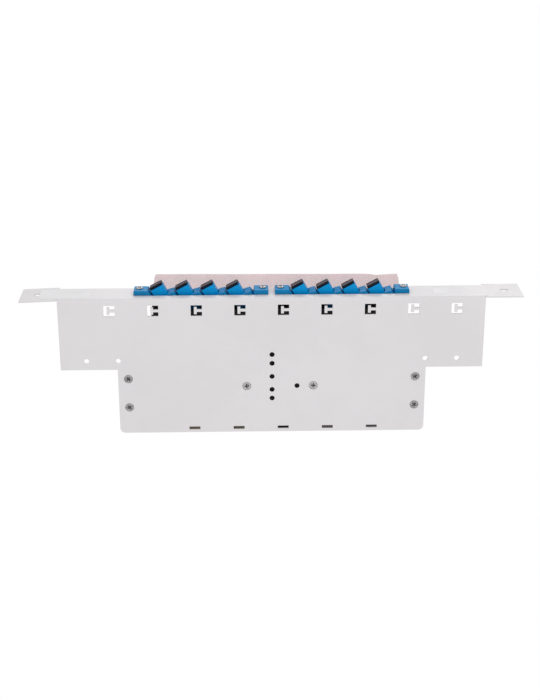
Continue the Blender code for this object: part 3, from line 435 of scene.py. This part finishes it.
def addBump(tree, shader, height, strength, distance):
    bump = tree.nodes.new("ShaderNodeBump")
    bump.inputs["Strength"].default_value = strength
    bump.inputs["Distance"].default_value = distance
    link(tree, height, bump.inputs["Height"])
    link(tree, bump.outputs["Normal"], shader.inputs["Normal"])


def startMaterial(name, metallic=0.0, specular=0.5):
    material = bpy.data.materials.new(name)
    material.use_nodes = True
    shader = material.node_tree.nodes["Principled BSDF"]
    shader.inputs["Metallic"].default_value = metallic
    shader.inputs["Specular IOR Level"].default_value = specular
    return material, material.node_tree, shader


def roughFrom(tree, mask, look):
    # smoothest where the mask is 0, roughest where it is 1
    return ramp(tree, mask, 0.0, 1.0, *look["rough"])


# Materials

finishes = {
    # bump is its strength and its depth in metres, wear and dust are shares of their colours; on moulded
    # parts the paler worn corners are partly a painted highlight
    "whiteCoat": {
        "colour": (0.696, 0.678, 0.690), "patch": (0.682, 0.662, 0.676), "bare": (0.45, 0.45, 0.46),
        "speck": (0.42, 0.42, 0.44), "speckShare": 0.06, "wearAndHighlight": 0.22,
        "rough": (0.40, 0.50), "specular": 0.35, "bump": (0.30, 0.00006),
    },
    "holderBlue": {
        "colour": (0.001, 0.198, 0.448), "patch": (0.003, 0.235, 0.520), "wearAndHighlight": 0.25,
        "rough": (0.37, 0.50), "specular": 0.12, "grain": 1500.0, "bump": (0.25, 0.00003),
        "under": 0.88,  # how much of its colour the underside keeps, the rest is painted shade
    },
    "adapterBlue": {
        "colour": (0.000, 0.250, 0.580), "patch": (0.000, 0.285, 0.640), "wearAndHighlight": 0.20,
        "rough": (0.29, 0.42), "specular": 0.06, "grain": 2200.0, "bump": (0.25, 0.000015),
    },
    "capBlack": {
        "colour": (0.002, 0.005, 0.012), "patch": (0.004, 0.009, 0.019), "wearAndHighlight": 0.04,
        "rough": (0.41, 0.54), "specular": 0.10, "grain": 1800.0, "bump": (0.25, 0.00002),
    },
    # the caps' front faces, painted lighter and brownish as painted sheen
    "capFaceSheen": {
        "colour": (0.062, 0.046, 0.060), "patch": (0.092, 0.073, 0.090), "wearAndHighlight": 0.12,
        "rough": (0.41, 0.54), "specular": 0.20, "grain": 1800.0, "bump": (0.25, 0.00002),
    },
    "rivetBlack": {
        "colour": (0.012, 0.012, 0.013), "patch": (0.030, 0.029, 0.029), "wearAndHighlight": 0.15, "dust": 0.08,
        "rough": (0.30, 0.43), "specular": 0.45, "grain": 1800.0, "bump": (0.25, 0.00002),
    },
    "trayBlack": {
        "colour": (0.0035, 0.0034, 0.0035), "patch": (0.007, 0.0068, 0.0068), "wearAndHighlight": 0.10,
        "rough": (0.53, 0.66), "specular": 0.18, "grain": 1100.0, "bump": (0.25, 0.00005),
    },
    "combGrey": {
        "colour": (0.33, 0.33, 0.34), "patch": (0.40, 0.40, 0.41), "wearAndHighlight": 0.15,
        "rough": (0.45, 0.58), "specular": 0.4, "grain": 1300.0, "bump": (0.25, 0.00004),
    },
    # two copies of one zinc, the darker one for the bracket screws and the paler one for the tray screws,
    # which face the light more: painted light and shade
    "zincShaded": {
        "colour": (0.620, 0.606, 0.606), "patch": (0.330, 0.320, 0.318), "rough": (0.34, 0.54),
        "lines": 220.0,
    },
    "zincLit": {
        "colour": (0.680, 0.672, 0.672), "patch": (0.520, 0.512, 0.508), "rough": (0.30, 0.50),
        "lines": 220.0,
    },
    "brightSteel": {
        "colour": (0.450, 0.448, 0.455), "patch": (0.180, 0.178, 0.182), "rough": (0.20, 0.40),
        "lines": 300.0,
    },
    # darker copies of the screws' metal for their cross recesses: painted shade
    "recessShadeGrey": {
        "colour": (0.220, 0.212, 0.212), "patch": (0.320, 0.310, 0.308), "rough": (0.54, 0.74),
        "lines": 220.0,
    },
    "recessShadeDark": {
        "colour": (0.030, 0.029, 0.030), "patch": (0.070, 0.067, 0.067), "rough": (0.54, 0.74),
        "lines": 220.0,
    },
    "zincSheet": {
        "colour": (0.540, 0.550, 0.565), "patch": (0.400, 0.410, 0.425), "rough": (0.30, 0.48),
        "spangle": 260.0, "bump": (0.2, 0.00002),
    },
    "ceramic": {
        "colour": (0.830, 0.820, 0.790), "patch": (0.780, 0.770, 0.730), "rough": (0.20, 0.33),
        "specular": 0.6,
    },
    "film": {
        "colour": (0.665, 0.287, 0.308), "warm": (0.680, 0.292, 0.298), "cool": (0.590, 0.268, 0.292),
        "warmFrom": 0.40, "warmTo": 0.64, "coolFrom": 0.44, "coolTo": 0.66,
        "thin": 0.310, "thick": 0.335,  # how much each side covers
        "rough": (0.30, 0.40), "specular": 0.25, "bump": (0.15, 0.0003),
        # the unlit strip of the underside: colour, and middle, half width and fade along Y
        "shade": (0.006, 0.007, 0.012), "middle": -0.042, "half": 0.008, "fade": 0.002,
        "down": -0.3,  # faces whose normal points lower than this are the underside
    },
    "label": {
        "colour": (0.745, 0.740, 0.752), "patch": (0.725, 0.720, 0.733), "rough": (0.50, 0.62),
        "specular": 0.3, "bump": (0.15, 0.00001),
    },
}

metalRub = {"colour": (0.62, 0.62, 0.63), "share": 0.25, "bump": (0.35, 0.00003)}
mouldedWearAndLight = {
    "patchShare": 0.6,
    "lift": 0.10,  # worn corners are paler than the patches, partly as a painted highlight: this much, on so many times their colour
    "times": 1.5,
    "rubRough": 0.12,
    "dust": (0.34, 0.31, 0.30),
    "dustFrom": 0.3,
    # the underside's painted shade fades in between these heights of the normal
    "underFrom": -0.8,
    "underTo": -0.2,
}

cutEdges = {
    "sheet": 0.0017,  # just over the floor plate's thickness
    "level": 0.95,  # faces this level or more are not cut edges
    "places": (
        # middle and half size of a box along X and Y, and the colour of the cut edges in it
        ((0.0110, 0.0180), (0.0220, 0.0370), (0.018, 0.018, 0.019)),
        # the three rear slots: dust colours painted lighter as painted light
        ((-0.0764, 0.0720), (0.0070, 0.0030), (0.175, 0.142, 0.115)),
        ((-0.0327, 0.0720), (0.0070, 0.0030), (0.134, 0.119, 0.092)),
        ((0.0547, 0.0720), (0.0070, 0.0030), (0.175, 0.130, 0.150)),
    ),
}

# dust under the tray's rear edge, painted lighter to stand in for light that doesn't reach there: dust
# and painted light
trayDustAndLight = {
    # along Y it starts and is full, along Z it is full up to low and gone above
    "start": 0.0640,
    "full": 0.0680,
    "low": 0.0020,
    "gone": 0.0026,
    "fade": 0.010,
    "grain": 400.0,
    "thinnest": 0.75,
    "grainFrom": 0.30,
    "grainTo": 0.60,
    "patches": (
        # middle and half width along X, colour
        (-0.0764, 0.012, (0.172, 0.136, 0.104)),
        (-0.0327, 0.012, (0.112, 0.098, 0.070)),
        (0.0547, 0.010, (0.124, 0.090, 0.106)),
        (0.097, 0.004, (0.070, 0.066, 0.066)),
    ),
}


def darkHolesAndLitSlotEdges(tree, colour):
    # darkened cut edges in the middle holes, and in three of the rear slots dust painted lighter as
    # painted light
    spot = objectAxes(tree)
    side = tree.nodes.new("ShaderNodeNewGeometry")
    faces = splitAxes(tree, side.outputs["True Normal"])
    upright = calc(tree, "LESS_THAN", calc(tree, "ABSOLUTE", faces["Z"]), cutEdges["level"])
    edge = product(tree, upright, calc(tree, "LESS_THAN", spot["Z"], cutEdges["sheet"]))
    for middle, half, shade in cutEdges["places"]:
        mask = edge
        for axis, centre, reach in zip("XY", middle, half):
            away = distanceFrom(tree, spot[axis], centre)
            mask = product(tree, mask, calc(tree, "LESS_THAN", away, reach))
        colour = mixColour(tree, mask, colour, shade)
    return colour


def makeCoat():
    look = finishes["whiteCoat"]
    material, tree, shader = startMaterial("whiteCoat", specular=look["specular"])
    peel = useGroup(tree, coatPeel, Grain=950.0, Fine=0.35)
    patches = useGroup(tree, handledPatches, Size=9.0, Low=0.36, High=0.66)["Mask"]
    wearAndHighlight = useGroup(tree, cornerWearAndHighlight, Reach=0.00035, Break=700.0)["Mask"]
    colour = mixColour(tree, patches, look["colour"], look["patch"])
    colour = mixColour(tree, product(tree, peel["Speckle"], look["speckShare"]), colour, look["speck"])
    colour = mixColour(tree, product(tree, wearAndHighlight, look["wearAndHighlight"]), colour, look["bare"])
    link(tree, darkHolesAndLitSlotEdges(tree, colour), shader.inputs["Base Color"])
    link(tree, roughFrom(tree, patches, look), shader.inputs["Roughness"])
    addBump(tree, shader, peel["Height"], *look["bump"])
    return material


def shadeUnderside(tree, colour, look):
    # the underside is painted darker and greyer: painted shade
    side = tree.nodes.new("ShaderNodeNewGeometry")
    faces = splitAxes(tree, side.outputs["Normal"])
    down = ramp(tree, faces["Z"], mouldedWearAndLight["underFrom"], mouldedWearAndLight["underTo"], 1.0, 0.0)
    return mixColour(tree, down, colour, tuple(look["under"] * c for c in look["colour"]))


def dustAndLightUnderRear(tree, colour, dust):
    # dust under the rear edge, where the floor's slots show it, painted lighter than dust alone as
    # painted light
    spot = objectAxes(tree)
    edge = ramp(tree, spot["Y"], dust["start"], dust["full"])
    low = ramp(tree, spot["Z"], dust["low"], dust["gone"], 1.0, 0.0)
    grain = noise(tree, dust["grain"], detail=2.0, roughness=0.5)
    broken = ramp(tree, grain, dust["grainFrom"], dust["grainTo"], dust["thinnest"], 1.0)
    edge = product(tree, edge, low, broken)
    for middle, half, settled in dust["patches"]:
        away = distanceFrom(tree, spot["X"], middle)
        amount = ramp(tree, away, half, half + dust["fade"], 1.0, 0.0)
        colour = mixColour(tree, product(tree, edge, amount), colour, settled)
    return colour


def makeMoulded(name, rearDustAndLight=None):
    look = finishes[name]
    material, tree, shader = startMaterial(name, specular=look["specular"])
    peel = useGroup(tree, coatPeel, Grain=look["grain"], Fine=0.5)
    patches = useGroup(tree, handledPatches, Size=38.0, Low=0.38, High=0.64)["Mask"]
    rub = useGroup(tree, rubLines, Density=150.0, Low=0.63)["Mask"]
    wearAndHighlight = useGroup(tree, cornerWearAndHighlight, Reach=0.0003, Break=1600.0)["Mask"]
    mask = product(tree, patches, mouldedWearAndLight["patchShare"])
    colour = mixColour(tree, mask, look["colour"], look["patch"])
    # painted shade on the underside
    if "under" in look:
        colour = shadeUnderside(tree, colour, look)
    # paler corners: wear together with a painted highlight along the edges
    palerWearAndHighlight = tuple(min(1.0, mouldedWearAndLight["lift"] + mouldedWearAndLight["times"] * c) for c in look["patch"])
    colour = mixColour(tree, product(tree, wearAndHighlight, look["wearAndHighlight"]), colour, palerWearAndHighlight)
    if "dust" in look:
        settled = ramp(tree, patches, mouldedWearAndLight["dustFrom"], 1.0)
        colour = mixColour(tree, product(tree, settled, look["dust"]), colour, mouldedWearAndLight["dust"])
    if rearDustAndLight:
        colour = dustAndLightUnderRear(tree, colour, rearDustAndLight)
    link(tree, colour, shader.inputs["Base Color"])
    rubbed = product(tree, rub, mouldedWearAndLight["rubRough"])
    rough = calc(tree, "ADD", roughFrom(tree, patches, look), rubbed, True)
    link(tree, rough, shader.inputs["Roughness"])
    addBump(tree, shader, peel["Height"], *look["bump"])
    return material


def makeMetal(name):
    look = finishes[name]
    material, tree, shader = startMaterial(name, metallic=1.0)
    mottle = useGroup(tree, handledPatches, Size=520.0, Low=0.40, High=0.60)["Mask"]
    rub = useGroup(tree, rubLines, Density=look["lines"], Low=0.58)["Mask"]
    peel = useGroup(tree, coatPeel, Grain=2600.0, Fine=0.6)
    colour = mixColour(tree, mottle, look["colour"], look["patch"])
    colour = mixColour(tree, product(tree, rub, metalRub["share"]), colour, metalRub["colour"])
    link(tree, colour, shader.inputs["Base Color"])
    link(tree, roughFrom(tree, mottle, look), shader.inputs["Roughness"])
    addBump(tree, shader, peel["Height"], *metalRub["bump"])
    return material


def makeSheetZinc():
    look = finishes["zincSheet"]
    material, tree, shader = startMaterial("zincSheet", metallic=1.0)
    spot = tree.nodes.new("ShaderNodeTexCoord")
    spangle = tree.nodes.new("ShaderNodeTexVoronoi")
    spangle.inputs["Scale"].default_value = look["spangle"]
    link(tree, spot.outputs["Object"], spangle.inputs["Vector"])
    grey = tree.nodes.new("ShaderNodeRGBToBW")
    link(tree, spangle.outputs["Color"], grey.inputs["Color"])
    grey = grey.outputs["Val"]
    link(tree, mixColour(tree, grey, look["colour"], look["patch"]), shader.inputs["Base Color"])
    link(tree, roughFrom(tree, grey, look), shader.inputs["Roughness"])
    peel = useGroup(tree, coatPeel, Grain=1800.0, Fine=0.6)
    addBump(tree, shader, peel["Height"], *look["bump"])
    return material


def makeCeramic():
    look = finishes["ceramic"]
    material, tree, shader = startMaterial("ceramic", specular=look["specular"])
    patches = useGroup(tree, handledPatches, Size=500.0, Low=0.35, High=0.65)["Mask"]
    link(tree, mixColour(tree, patches, look["colour"], look["patch"]), shader.inputs["Base Color"])
    link(tree, roughFrom(tree, patches, look), shader.inputs["Roughness"])
    return material


def filmShade(tree, look):
    # from below, the strip over the tray's front edge gets hardly any light and reads black
    away = distanceFrom(tree, objectAxes(tree)["Y"], look["middle"])
    inside = ramp(tree, away, look["half"], look["half"] + look["fade"], 1.0, 0.0)
    side = tree.nodes.new("ShaderNodeNewGeometry")
    faces = splitAxes(tree, side.outputs["Normal"])
    down = calc(tree, "LESS_THAN", faces["Z"], look["down"])
    outer = calc(tree, "SUBTRACT", 1.0, side.outputs["Backfacing"])
    return product(tree, inside, down, outer)


def makeFilmLook():
    look = finishes["film"]
    material, tree, shader = startMaterial("tintedFilm", specular=look["specular"])
    warm = noise(tree, scale=13.0, detail=1.0, roughness=0.4, stretch=(1.0, 2.0, 1.0))
    cool = noise(tree, scale=17.0, detail=1.0, roughness=0.4, stretch=(1.0, 1.6, 1.0), turn=0.7)
    waves = noise(tree, scale=34.0, detail=1.0, roughness=0.4)
    patches = useGroup(tree, handledPatches, Size=16.0, Low=0.36, High=0.64)["Mask"]
    warm = ramp(tree, warm, look["warmFrom"], look["warmTo"])
    cool = ramp(tree, cool, look["coolFrom"], look["coolTo"])
    colour = mixColour(tree, warm, look["colour"], look["warm"])
    colour = mixColour(tree, cool, colour, look["cool"])
    alpha = ramp(tree, patches, 0.0, 1.0, look["thin"], look["thick"])
    shaded = filmShade(tree, look)
    link(tree, mixColour(tree, shaded, colour, look["shade"]), shader.inputs["Base Color"])
    link(tree, calc(tree, "MAXIMUM", alpha, shaded), shader.inputs["Alpha"])
    link(tree, roughFrom(tree, patches, look), shader.inputs["Roughness"])
    addBump(tree, shader, waves, *look["bump"])
    return material


def makeLabelLook():
    look = finishes["label"]
    material, tree, shader = startMaterial("blankLabel", specular=look["specular"])
    patches = useGroup(tree, handledPatches, Size=60.0, Low=0.35, High=0.65)["Mask"]
    link(tree, mixColour(tree, patches, look["colour"], look["patch"]), shader.inputs["Base Color"])
    link(tree, roughFrom(tree, patches, look), shader.inputs["Roughness"])
    paper = noise(tree, scale=2400.0, detail=3.0, roughness=0.6)
    addBump(tree, shader, paper, *look["bump"])
    return material


whiteCoat = makeCoat()
holderBlue = makeMoulded("holderBlue")
adapterBlue = makeMoulded("adapterBlue")
capBlack = makeMoulded("capBlack")
capFaceSheen = makeMoulded("capFaceSheen")
rivetBlack = makeMoulded("rivetBlack")
trayBlack = makeMoulded("trayBlack", trayDustAndLight)
combGrey = makeMoulded("combGrey")
zincShaded = makeMetal("zincShaded")
zincLit = makeMetal("zincLit")
brightSteel = makeMetal("brightSteel")
recessShadeGrey = makeMetal("recessShadeGrey")
recessShadeDark = makeMetal("recessShadeDark")
zincSheet = makeSheetZinc()
ceramic = makeCeramic()
tintedFilm = makeFilmLook()
blankLabel = makeLabelLook()
print("materials ready")


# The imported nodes: materials, welded faces and a small rounding of their corners

nodeLooks = {
    # start of the node's name: material, rounding in mm, segments
    "chassis": (whiteCoat, 0.25, 2),
    "adapter_holder": (holderBlue, 0.30, 3),
    "adapter_": (adapterBlue, 0.15, 2),
    "split_sleeve": (ceramic, 0.0, 1),
    "splice_tray": (trayBlack, 0.25, 2),
    "splice_comb": (combGrey, 0.2, 2),
    "side_bracket": (zincSheet, 0.2, 2),
    "cover_film": (tintedFilm, 0.0, 1),
}
sharpCorner = math.radians(35)
flatCorner = math.radians(0.5)


def dressNode(node, material, rounding, segments):
    thing = nodes[node]
    thing.data.materials.clear()
    thing.data.materials.append(material)
    thing.data.polygons.foreach_set("material_index", [0] * len(thing.data.polygons))
    thing.data.polygons.foreach_set("use_smooth", [True] * len(thing.data.polygons))
    weld = thing.modifiers.new("weld", "WELD")
    weld.merge_threshold = weldGap
    if rounding <= 0:
        split = thing.modifiers.new("sharpCorners", "EDGE_SPLIT")
        split.split_angle = sharpCorner
        return
    flat = thing.modifiers.new("flatFaces", "DECIMATE")
    flat.decimate_type = "DISSOLVE"
    flat.angle_limit = flatCorner
    bevel = thing.modifiers.new("rounding", "BEVEL")
    bevel.width = rounding * mm
    bevel.segments = segments
    bevel.limit_method = "ANGLE"
    bevel.angle_limit = sharpCorner
    bevel.use_clamp_overlap = True
    evened = thing.modifiers.new("evenFaces", "WEIGHTED_NORMAL")
    evened.mode = "FACE_AREA"
    evened.weight = 100
    evened.keep_sharp = True


for node in nodes:
    for start, look in nodeLooks.items():
        if node.startswith(start):
            dressNode(node, *look)
            break
print("packed nodes dressed")


# Screws with a tapered cross recess

screwSettings = {
    # lengths in mm; a ring is its radius and its drop below the head's top
    "facets": 40,
    "crossCells": 3,
    "recessTaper": 0.55,
    "threadCore": 0.82,  # core radius over the thread's
    "threadRise": 0.3,  # shares of the pitch at which a thread starts and is full
    "threadFull": 0.8,
    "tip": 0.55,
    "smooth": 30,
    "floor": {
        "centre": 2.5, "reach": 2.25, "bar": 0.62, "depth": 1.5, "shank": 2.0, "length": 8.0,
        "pitch": 0.8,
        "head": ((3.98, 0.0), (4.07, 0.04), (4.10, 0.15), (2.05, 1.2)),
    },
    "tab": {
        "centre": 2.30, "reach": 2.10, "bar": 0.58, "depth": 1.2, "shank": 1.5, "length": 10.1,
        "pitch": 0.7,
        "head": (
            (2.60, 0.05), (2.90, 0.16), (3.15, 0.33), (3.34, 0.55), (3.46, 0.78), (3.50, 0.96),
            (3.46, 1.1), (1.55, 1.1),
        ),
        "sunk": 0.9,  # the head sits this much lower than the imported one
    },
    "turns": {
        # how far each head ended up turned, in degrees
        "tray_screw_1": 8, "tray_screw_2": -5,
        "bracket_screw_1": 40, "bracket_screw_2": 52, "bracket_screw_3": 34, "bracket_screw_4": 47,
        "holder_screw_left_1": 41, "holder_screw_left_2": 12,
        "holder_screw_right_1": 28, "holder_screw_right_2": 50,
    },
}


def cutCross(bm, reach, bar, depth):
    # a square of nine cells loses its corners, and the cross left is pushed down and narrows
    cells = screwSettings["crossCells"]
    bmesh.ops.create_grid(bm, x_segments=cells, y_segments=cells, size=reach)
    for vert in bm.verts:
        for axis in (0, 1):
            if abs(vert.co[axis]) < reach / 2:
                vert.co[axis] *= bar / (reach / cells)
    middles = [(face, face.calc_center_median()) for face in bm.faces]
    corners = [face for face, middle in middles if min(abs(middle.x), abs(middle.y)) > bar]
    bmesh.ops.delete(bm, geom=corners, context="FACES")
    grown = bmesh.ops.extrude_face_region(bm, geom=list(bm.faces))
    bottom = [item for item in grown["geom"] if isVert(item)]
    taper = screwSettings["recessTaper"]
    bmesh.ops.scale(bm, vec=(taper, taper, 1), verts=bottom)
    bmesh.ops.translate(bm, verts=bottom, vec=(0, 0, -depth))
    left = [face for face in bm.faces if all(abs(vert.co.z) < weldGap for vert in face.verts)]
    bmesh.ops.delete(bm, geom=left, context="FACES")


def screwRings(settings):
    # the head's rings, then the thread's down to the tip
    rings = list(settings["head"])
    shank, pitch, length = settings["shank"], settings["pitch"], settings["length"]
    low = rings[-1][1]
    while low + pitch < length - pitch:
        rings.append((shank * screwSettings["threadCore"], low + pitch * screwSettings["threadRise"]))
        rings.append((shank, low + pitch * screwSettings["threadFull"]))
        rings.append((shank, low + pitch))
        low += pitch
    rings.append((shank * screwSettings["tip"], length))
    return rings


def screwMesh(kind, material, recess):
    settings = screwSettings[kind]
    bm = bmesh.new()
    cutCross(bm, settings["reach"] * mm, settings["bar"] * mm, settings["depth"] * mm)
    # the recess faces get the darker metal: painted shade
    for face in bm.faces:
        face.material_index = 1
    rim = [edge for edge in bm.edges if edge.is_boundary]
    radius, drop = settings["centre"], 0.0
    bmesh.ops.create_circle(bm, cap_ends=False, segments=screwSettings["facets"], radius=radius * mm)
    ring = [edge for edge in bm.edges if edge.is_wire]
    bmesh.ops.triangle_fill(bm, use_beauty=True, edges=rim + ring, normal=(0, 0, 1))
    for nextRadius, nextDrop in screwRings(settings):
        grown = bmesh.ops.extrude_edge_only(bm, edges=ring)
        moved = [item for item in grown["geom"] if isVert(item)]
        ring = [item for item in grown["geom"] if isEdge(item) and item.is_boundary]
        share = nextRadius / radius
        bmesh.ops.scale(bm, vec=(share, share, 1), verts=moved)
        bmesh.ops.translate(bm, verts=moved, vec=(0, 0, (drop - nextDrop) * mm))
        radius, drop = nextRadius, nextDrop
    bmesh.ops.contextual_create(bm, geom=ring)
    return finishMesh(kind + "Screw", bm, (material, recess), screwSettings["smooth"])


floorLit = screwMesh("floor", zincLit, recessShadeGrey)
floorShaded = screwMesh("floor", zincShaded, recessShadeGrey)
tabBright = screwMesh("tab", brightSteel, recessShadeDark)

for node in nodes:
    if "_screw_" not in node:
        continue
    low, high = nodeEnds(node)
    middle = (low + high) / 2
    turn = Matrix.Rotation(math.radians(screwSettings["turns"][node]), 4, "Z")
    if node.startswith("holder"):
        mesh, slot = tabBright, "bright_steel"
        top = low.y + screwSettings["tab"]["sunk"] * mm
        place = Matrix.Translation((middle.x, top, middle.z)) @ Matrix.Rotation(math.pi / 2, 4, "X")
    else:
        # the tray screws get the paler zinc copy, the bracket screws the darker one: painted light and
        # shade
        mesh, slot = (floorLit if node.startswith("tray") else floorShaded), "zinc_steel"
        place = Matrix.Translation((middle.x, middle.y, low.z)) @ Matrix.Rotation(math.pi, 4, "X")
    addPiece(node + "_fine", mesh, "panel", (node,), place @ turn)
print("screws made")


# Dust caps: a rounded face with a shallow dish and a hollow plug

dustCap = {
    # lengths in mm, angles in degrees
    "tilt": -28.5,
    "width": 12.5,
    "height": 8.3,
    "thick": 2.6,
    "corner": 0.7,
    "edge": 0.3,
    "dishMargin": 1.4,
    "dishDepth": 0.3,
    "plugWidth": 8.8,
    "plugHeight": 6.8,
    "plugLength": 6.5,
    "plugLead": 0.4,
    "plugCorner": 0.35,
    "plugWall": 0.7,
    "boreDepth": 5.0,
    "squareOn": 0.99,  # a face this square to a direction looks along it
    "frontTurn": -0.8,  # faces turned this far to the front get the lighter material, a painted sheen
    "smooth": 40,
}


def facing(bm, direction):
    # the face that looks most squarely along a direction and lies furthest that way
    aim = Vector(direction)
    bm.normal_update()
    square = [face for face in bm.faces if face.normal.dot(aim) > dustCap["squareOn"]]
    return max(square, key=lambda face: (round(face.calc_center_median().dot(aim), 6), face.calc_area()))


def pushFace(bm, face, inwards, along):
    inwards, along = inwards * mm, along * mm
    bmesh.ops.inset_individual(bm, faces=[face], thickness=inwards, depth=along, use_even_offset=True)


def alongY(edge, length):
    return abs((edge.verts[0].co - edge.verts[1].co).y) > length * mm


def dustCapMesh():
    settings = dustCap
    bm = bmesh.new()
    bmesh.ops.create_cube(bm, size=1)
    thick = settings["thick"] * mm
    scaleTo(bm, (settings["width"] * mm, thick, settings["height"] * mm), (0, thick / 2, 0))
    sides = [edge for edge in bm.edges if alongY(edge, settings["thick"] / 2)]
    front = facing(bm, (0, -1, 0))
    back = facing(bm, (0, 1, 0))
    outline = list(front.edges)
    pushFace(bm, front, settings["dishMargin"], 0)
    pushFace(bm, front, settings["dishDepth"], -settings["dishDepth"])
    pushFace(bm, back, (settings["height"] - settings["plugHeight"]) / 2, 0)
    narrow = settings["plugWidth"] / (settings["width"] - settings["height"] + settings["plugHeight"])
    bmesh.ops.scale(bm, vec=(narrow, 1, 1), verts=back.verts)
    pushFace(bm, back, 0, settings["plugLength"] - settings["plugLead"])
    plugSides = [edge for edge in bm.edges if alongY(edge, settings["plugLength"] / 2)]
    pushFace(bm, back, settings["plugLead"], settings["plugLead"])
    pushFace(bm, back, settings["plugWall"], 0)
    pushFace(bm, back, 0, -settings["boreDepth"])
    bevelEdges(bm, plugSides, settings["plugCorner"] * mm, segments=2)
    bevelEdges(bm, outline, settings["edge"] * mm, segments=3)
    sides = [edge for edge in sides if edge.is_valid]
    bevelEdges(bm, sides, settings["corner"] * mm, segments=4)
    bm.normal_update()
    for face in bm.faces:
        # the front face gets the lighter brownish material as painted sheen, the rest is black
        face.material_index = int(face.normal.y < settings["frontTurn"])
    return finishMesh("dustCap", bm, (capBlack, capFaceSheen), settings["smooth"])


capMesh = dustCapMesh()
for node in nodes:
    if "dust_cap" not in node:
        continue
    end, _, _, number = node.split("_")
    turn = dustCap["tilt"] + (180 if end == "rear" else 0)
    low, high = nodeEnds(node, turn)
    middle = (low + high) / 2
    place = Matrix.Rotation(math.radians(turn), 4, "Z") @ Matrix.Translation((middle.x, low.y, middle.z))
    addPiece(node + "_fine", capMesh, end + "_cap_" + number, (node,), place)
print("dust caps made")


# Push rivets that hold the film

pushRivet = {
    "steps": 36,
    "smooth": 30,
    "packedDome": 1.1,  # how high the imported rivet's head stands on the film, in mm
    # radius and height above the film, in mm
    "profile": (
        (0.0, 0.98), (0.80, 0.98), (0.92, 0.90), (1.05, 0.90), (1.20, 1.06), (1.70, 1.02), (2.60, 0.74),
        (3.25, 0.36), (3.55, 0.08), (3.60, 0.0), (1.40, 0.0), (1.40, -5.6), (0.70, -7.0), (0.0, -7.0),
    ),
}


def rivetMesh():
    bm = bmesh.new()
    spots = [bm.verts.new((radius * mm, 0, height * mm)) for radius, height in pushRivet["profile"]]
    for pair in zip(spots, spots[1:]):
        bm.edges.new(pair)
    bmesh.ops.spin(
        bm, geom=list(bm.verts) + list(bm.edges), cent=(0, 0, 0), axis=(0, 0, 1), angle=2 * math.pi,
        steps=pushRivet["steps"], use_merge=True,
    )
    return finishMesh("pushRivet", bm, (rivetBlack,), pushRivet["smooth"])


rivet = rivetMesh()
for side in ("left", "middle", "right"):
    node = "film_rivet_" + side
    low, high = nodeEnds(node)
    middle = (low + high) / 2
    place = Matrix.Translation((middle.x, middle.y, high.z - pushRivet["packedDome"] * mm))
    addPiece(node + "_fine", rivet, "panel", (node,), place)
print("rivets made")


# Blank stickers on the front flange

stickers = {
    # name: left, right, low and high in mm
    "blank_label_left": (-223.0, -174.5, 4.2, 30.4),
    "blank_label_right": (157.0, 172.0, 9.0, 26.5),
}
stickerSettings = {
    # lengths in mm, angles in degrees
    "thick": 0.08,
    "corner": 1.0,
    "cornerSteps": 4,
    "bendAt": -206.0,  # left of this the ear leans back, by so many degrees
    "lean": 2.1,
    "smooth": 30,
}


def stickerMesh(name, left, right, low, high):
    flange = nodeEnds("chassis")[0].y
    settings = stickerSettings
    bm = bmesh.new()
    bmesh.ops.create_grid(bm, x_segments=1, y_segments=1, size=0.5)
    upright = Matrix.Rotation(math.pi / 2, 3, "X")
    bmesh.ops.rotate(bm, verts=bm.verts, cent=(0, 0, 0), matrix=upright)
    size = ((right - left) * mm, 1, (high - low) * mm)
    scaleTo(bm, size, ((left + right) / 2 * mm, 0, (low + high) / 2 * mm))
    bmesh.ops.bevel(
        bm, geom=list(bm.verts), offset=settings["corner"] * mm, offset_type="OFFSET",
        segments=settings["cornerSteps"], profile=0.5, affect="VERTICES", material=-1,
    )
    bend = settings["bendAt"] * mm
    everything = list(bm.verts) + list(bm.edges) + list(bm.faces)
    bmesh.ops.bisect_plane(bm, geom=everything, plane_co=(bend, 0, 0), plane_no=(1, 0, 0))
    grown = bmesh.ops.extrude_face_region(bm, geom=list(bm.faces))
    front = [item for item in grown["geom"] if isVert(item)]
    bmesh.ops.translate(bm, verts=front, vec=(0, -settings["thick"] * mm, 0))
    slope = math.tan(math.radians(settings["lean"]))
    for vert in bm.verts:
        vert.co.y += max(0.0, bend - vert.co.x) * slope
    bmesh.ops.translate(bm, verts=bm.verts, vec=(0, flange - weldGap, 0))
    return finishMesh(name, bm, (blankLabel,), settings["smooth"])


for name, spans in stickers.items():
    addPiece(name, stickerMesh(name, *spans), "panel")
print("stickers made")
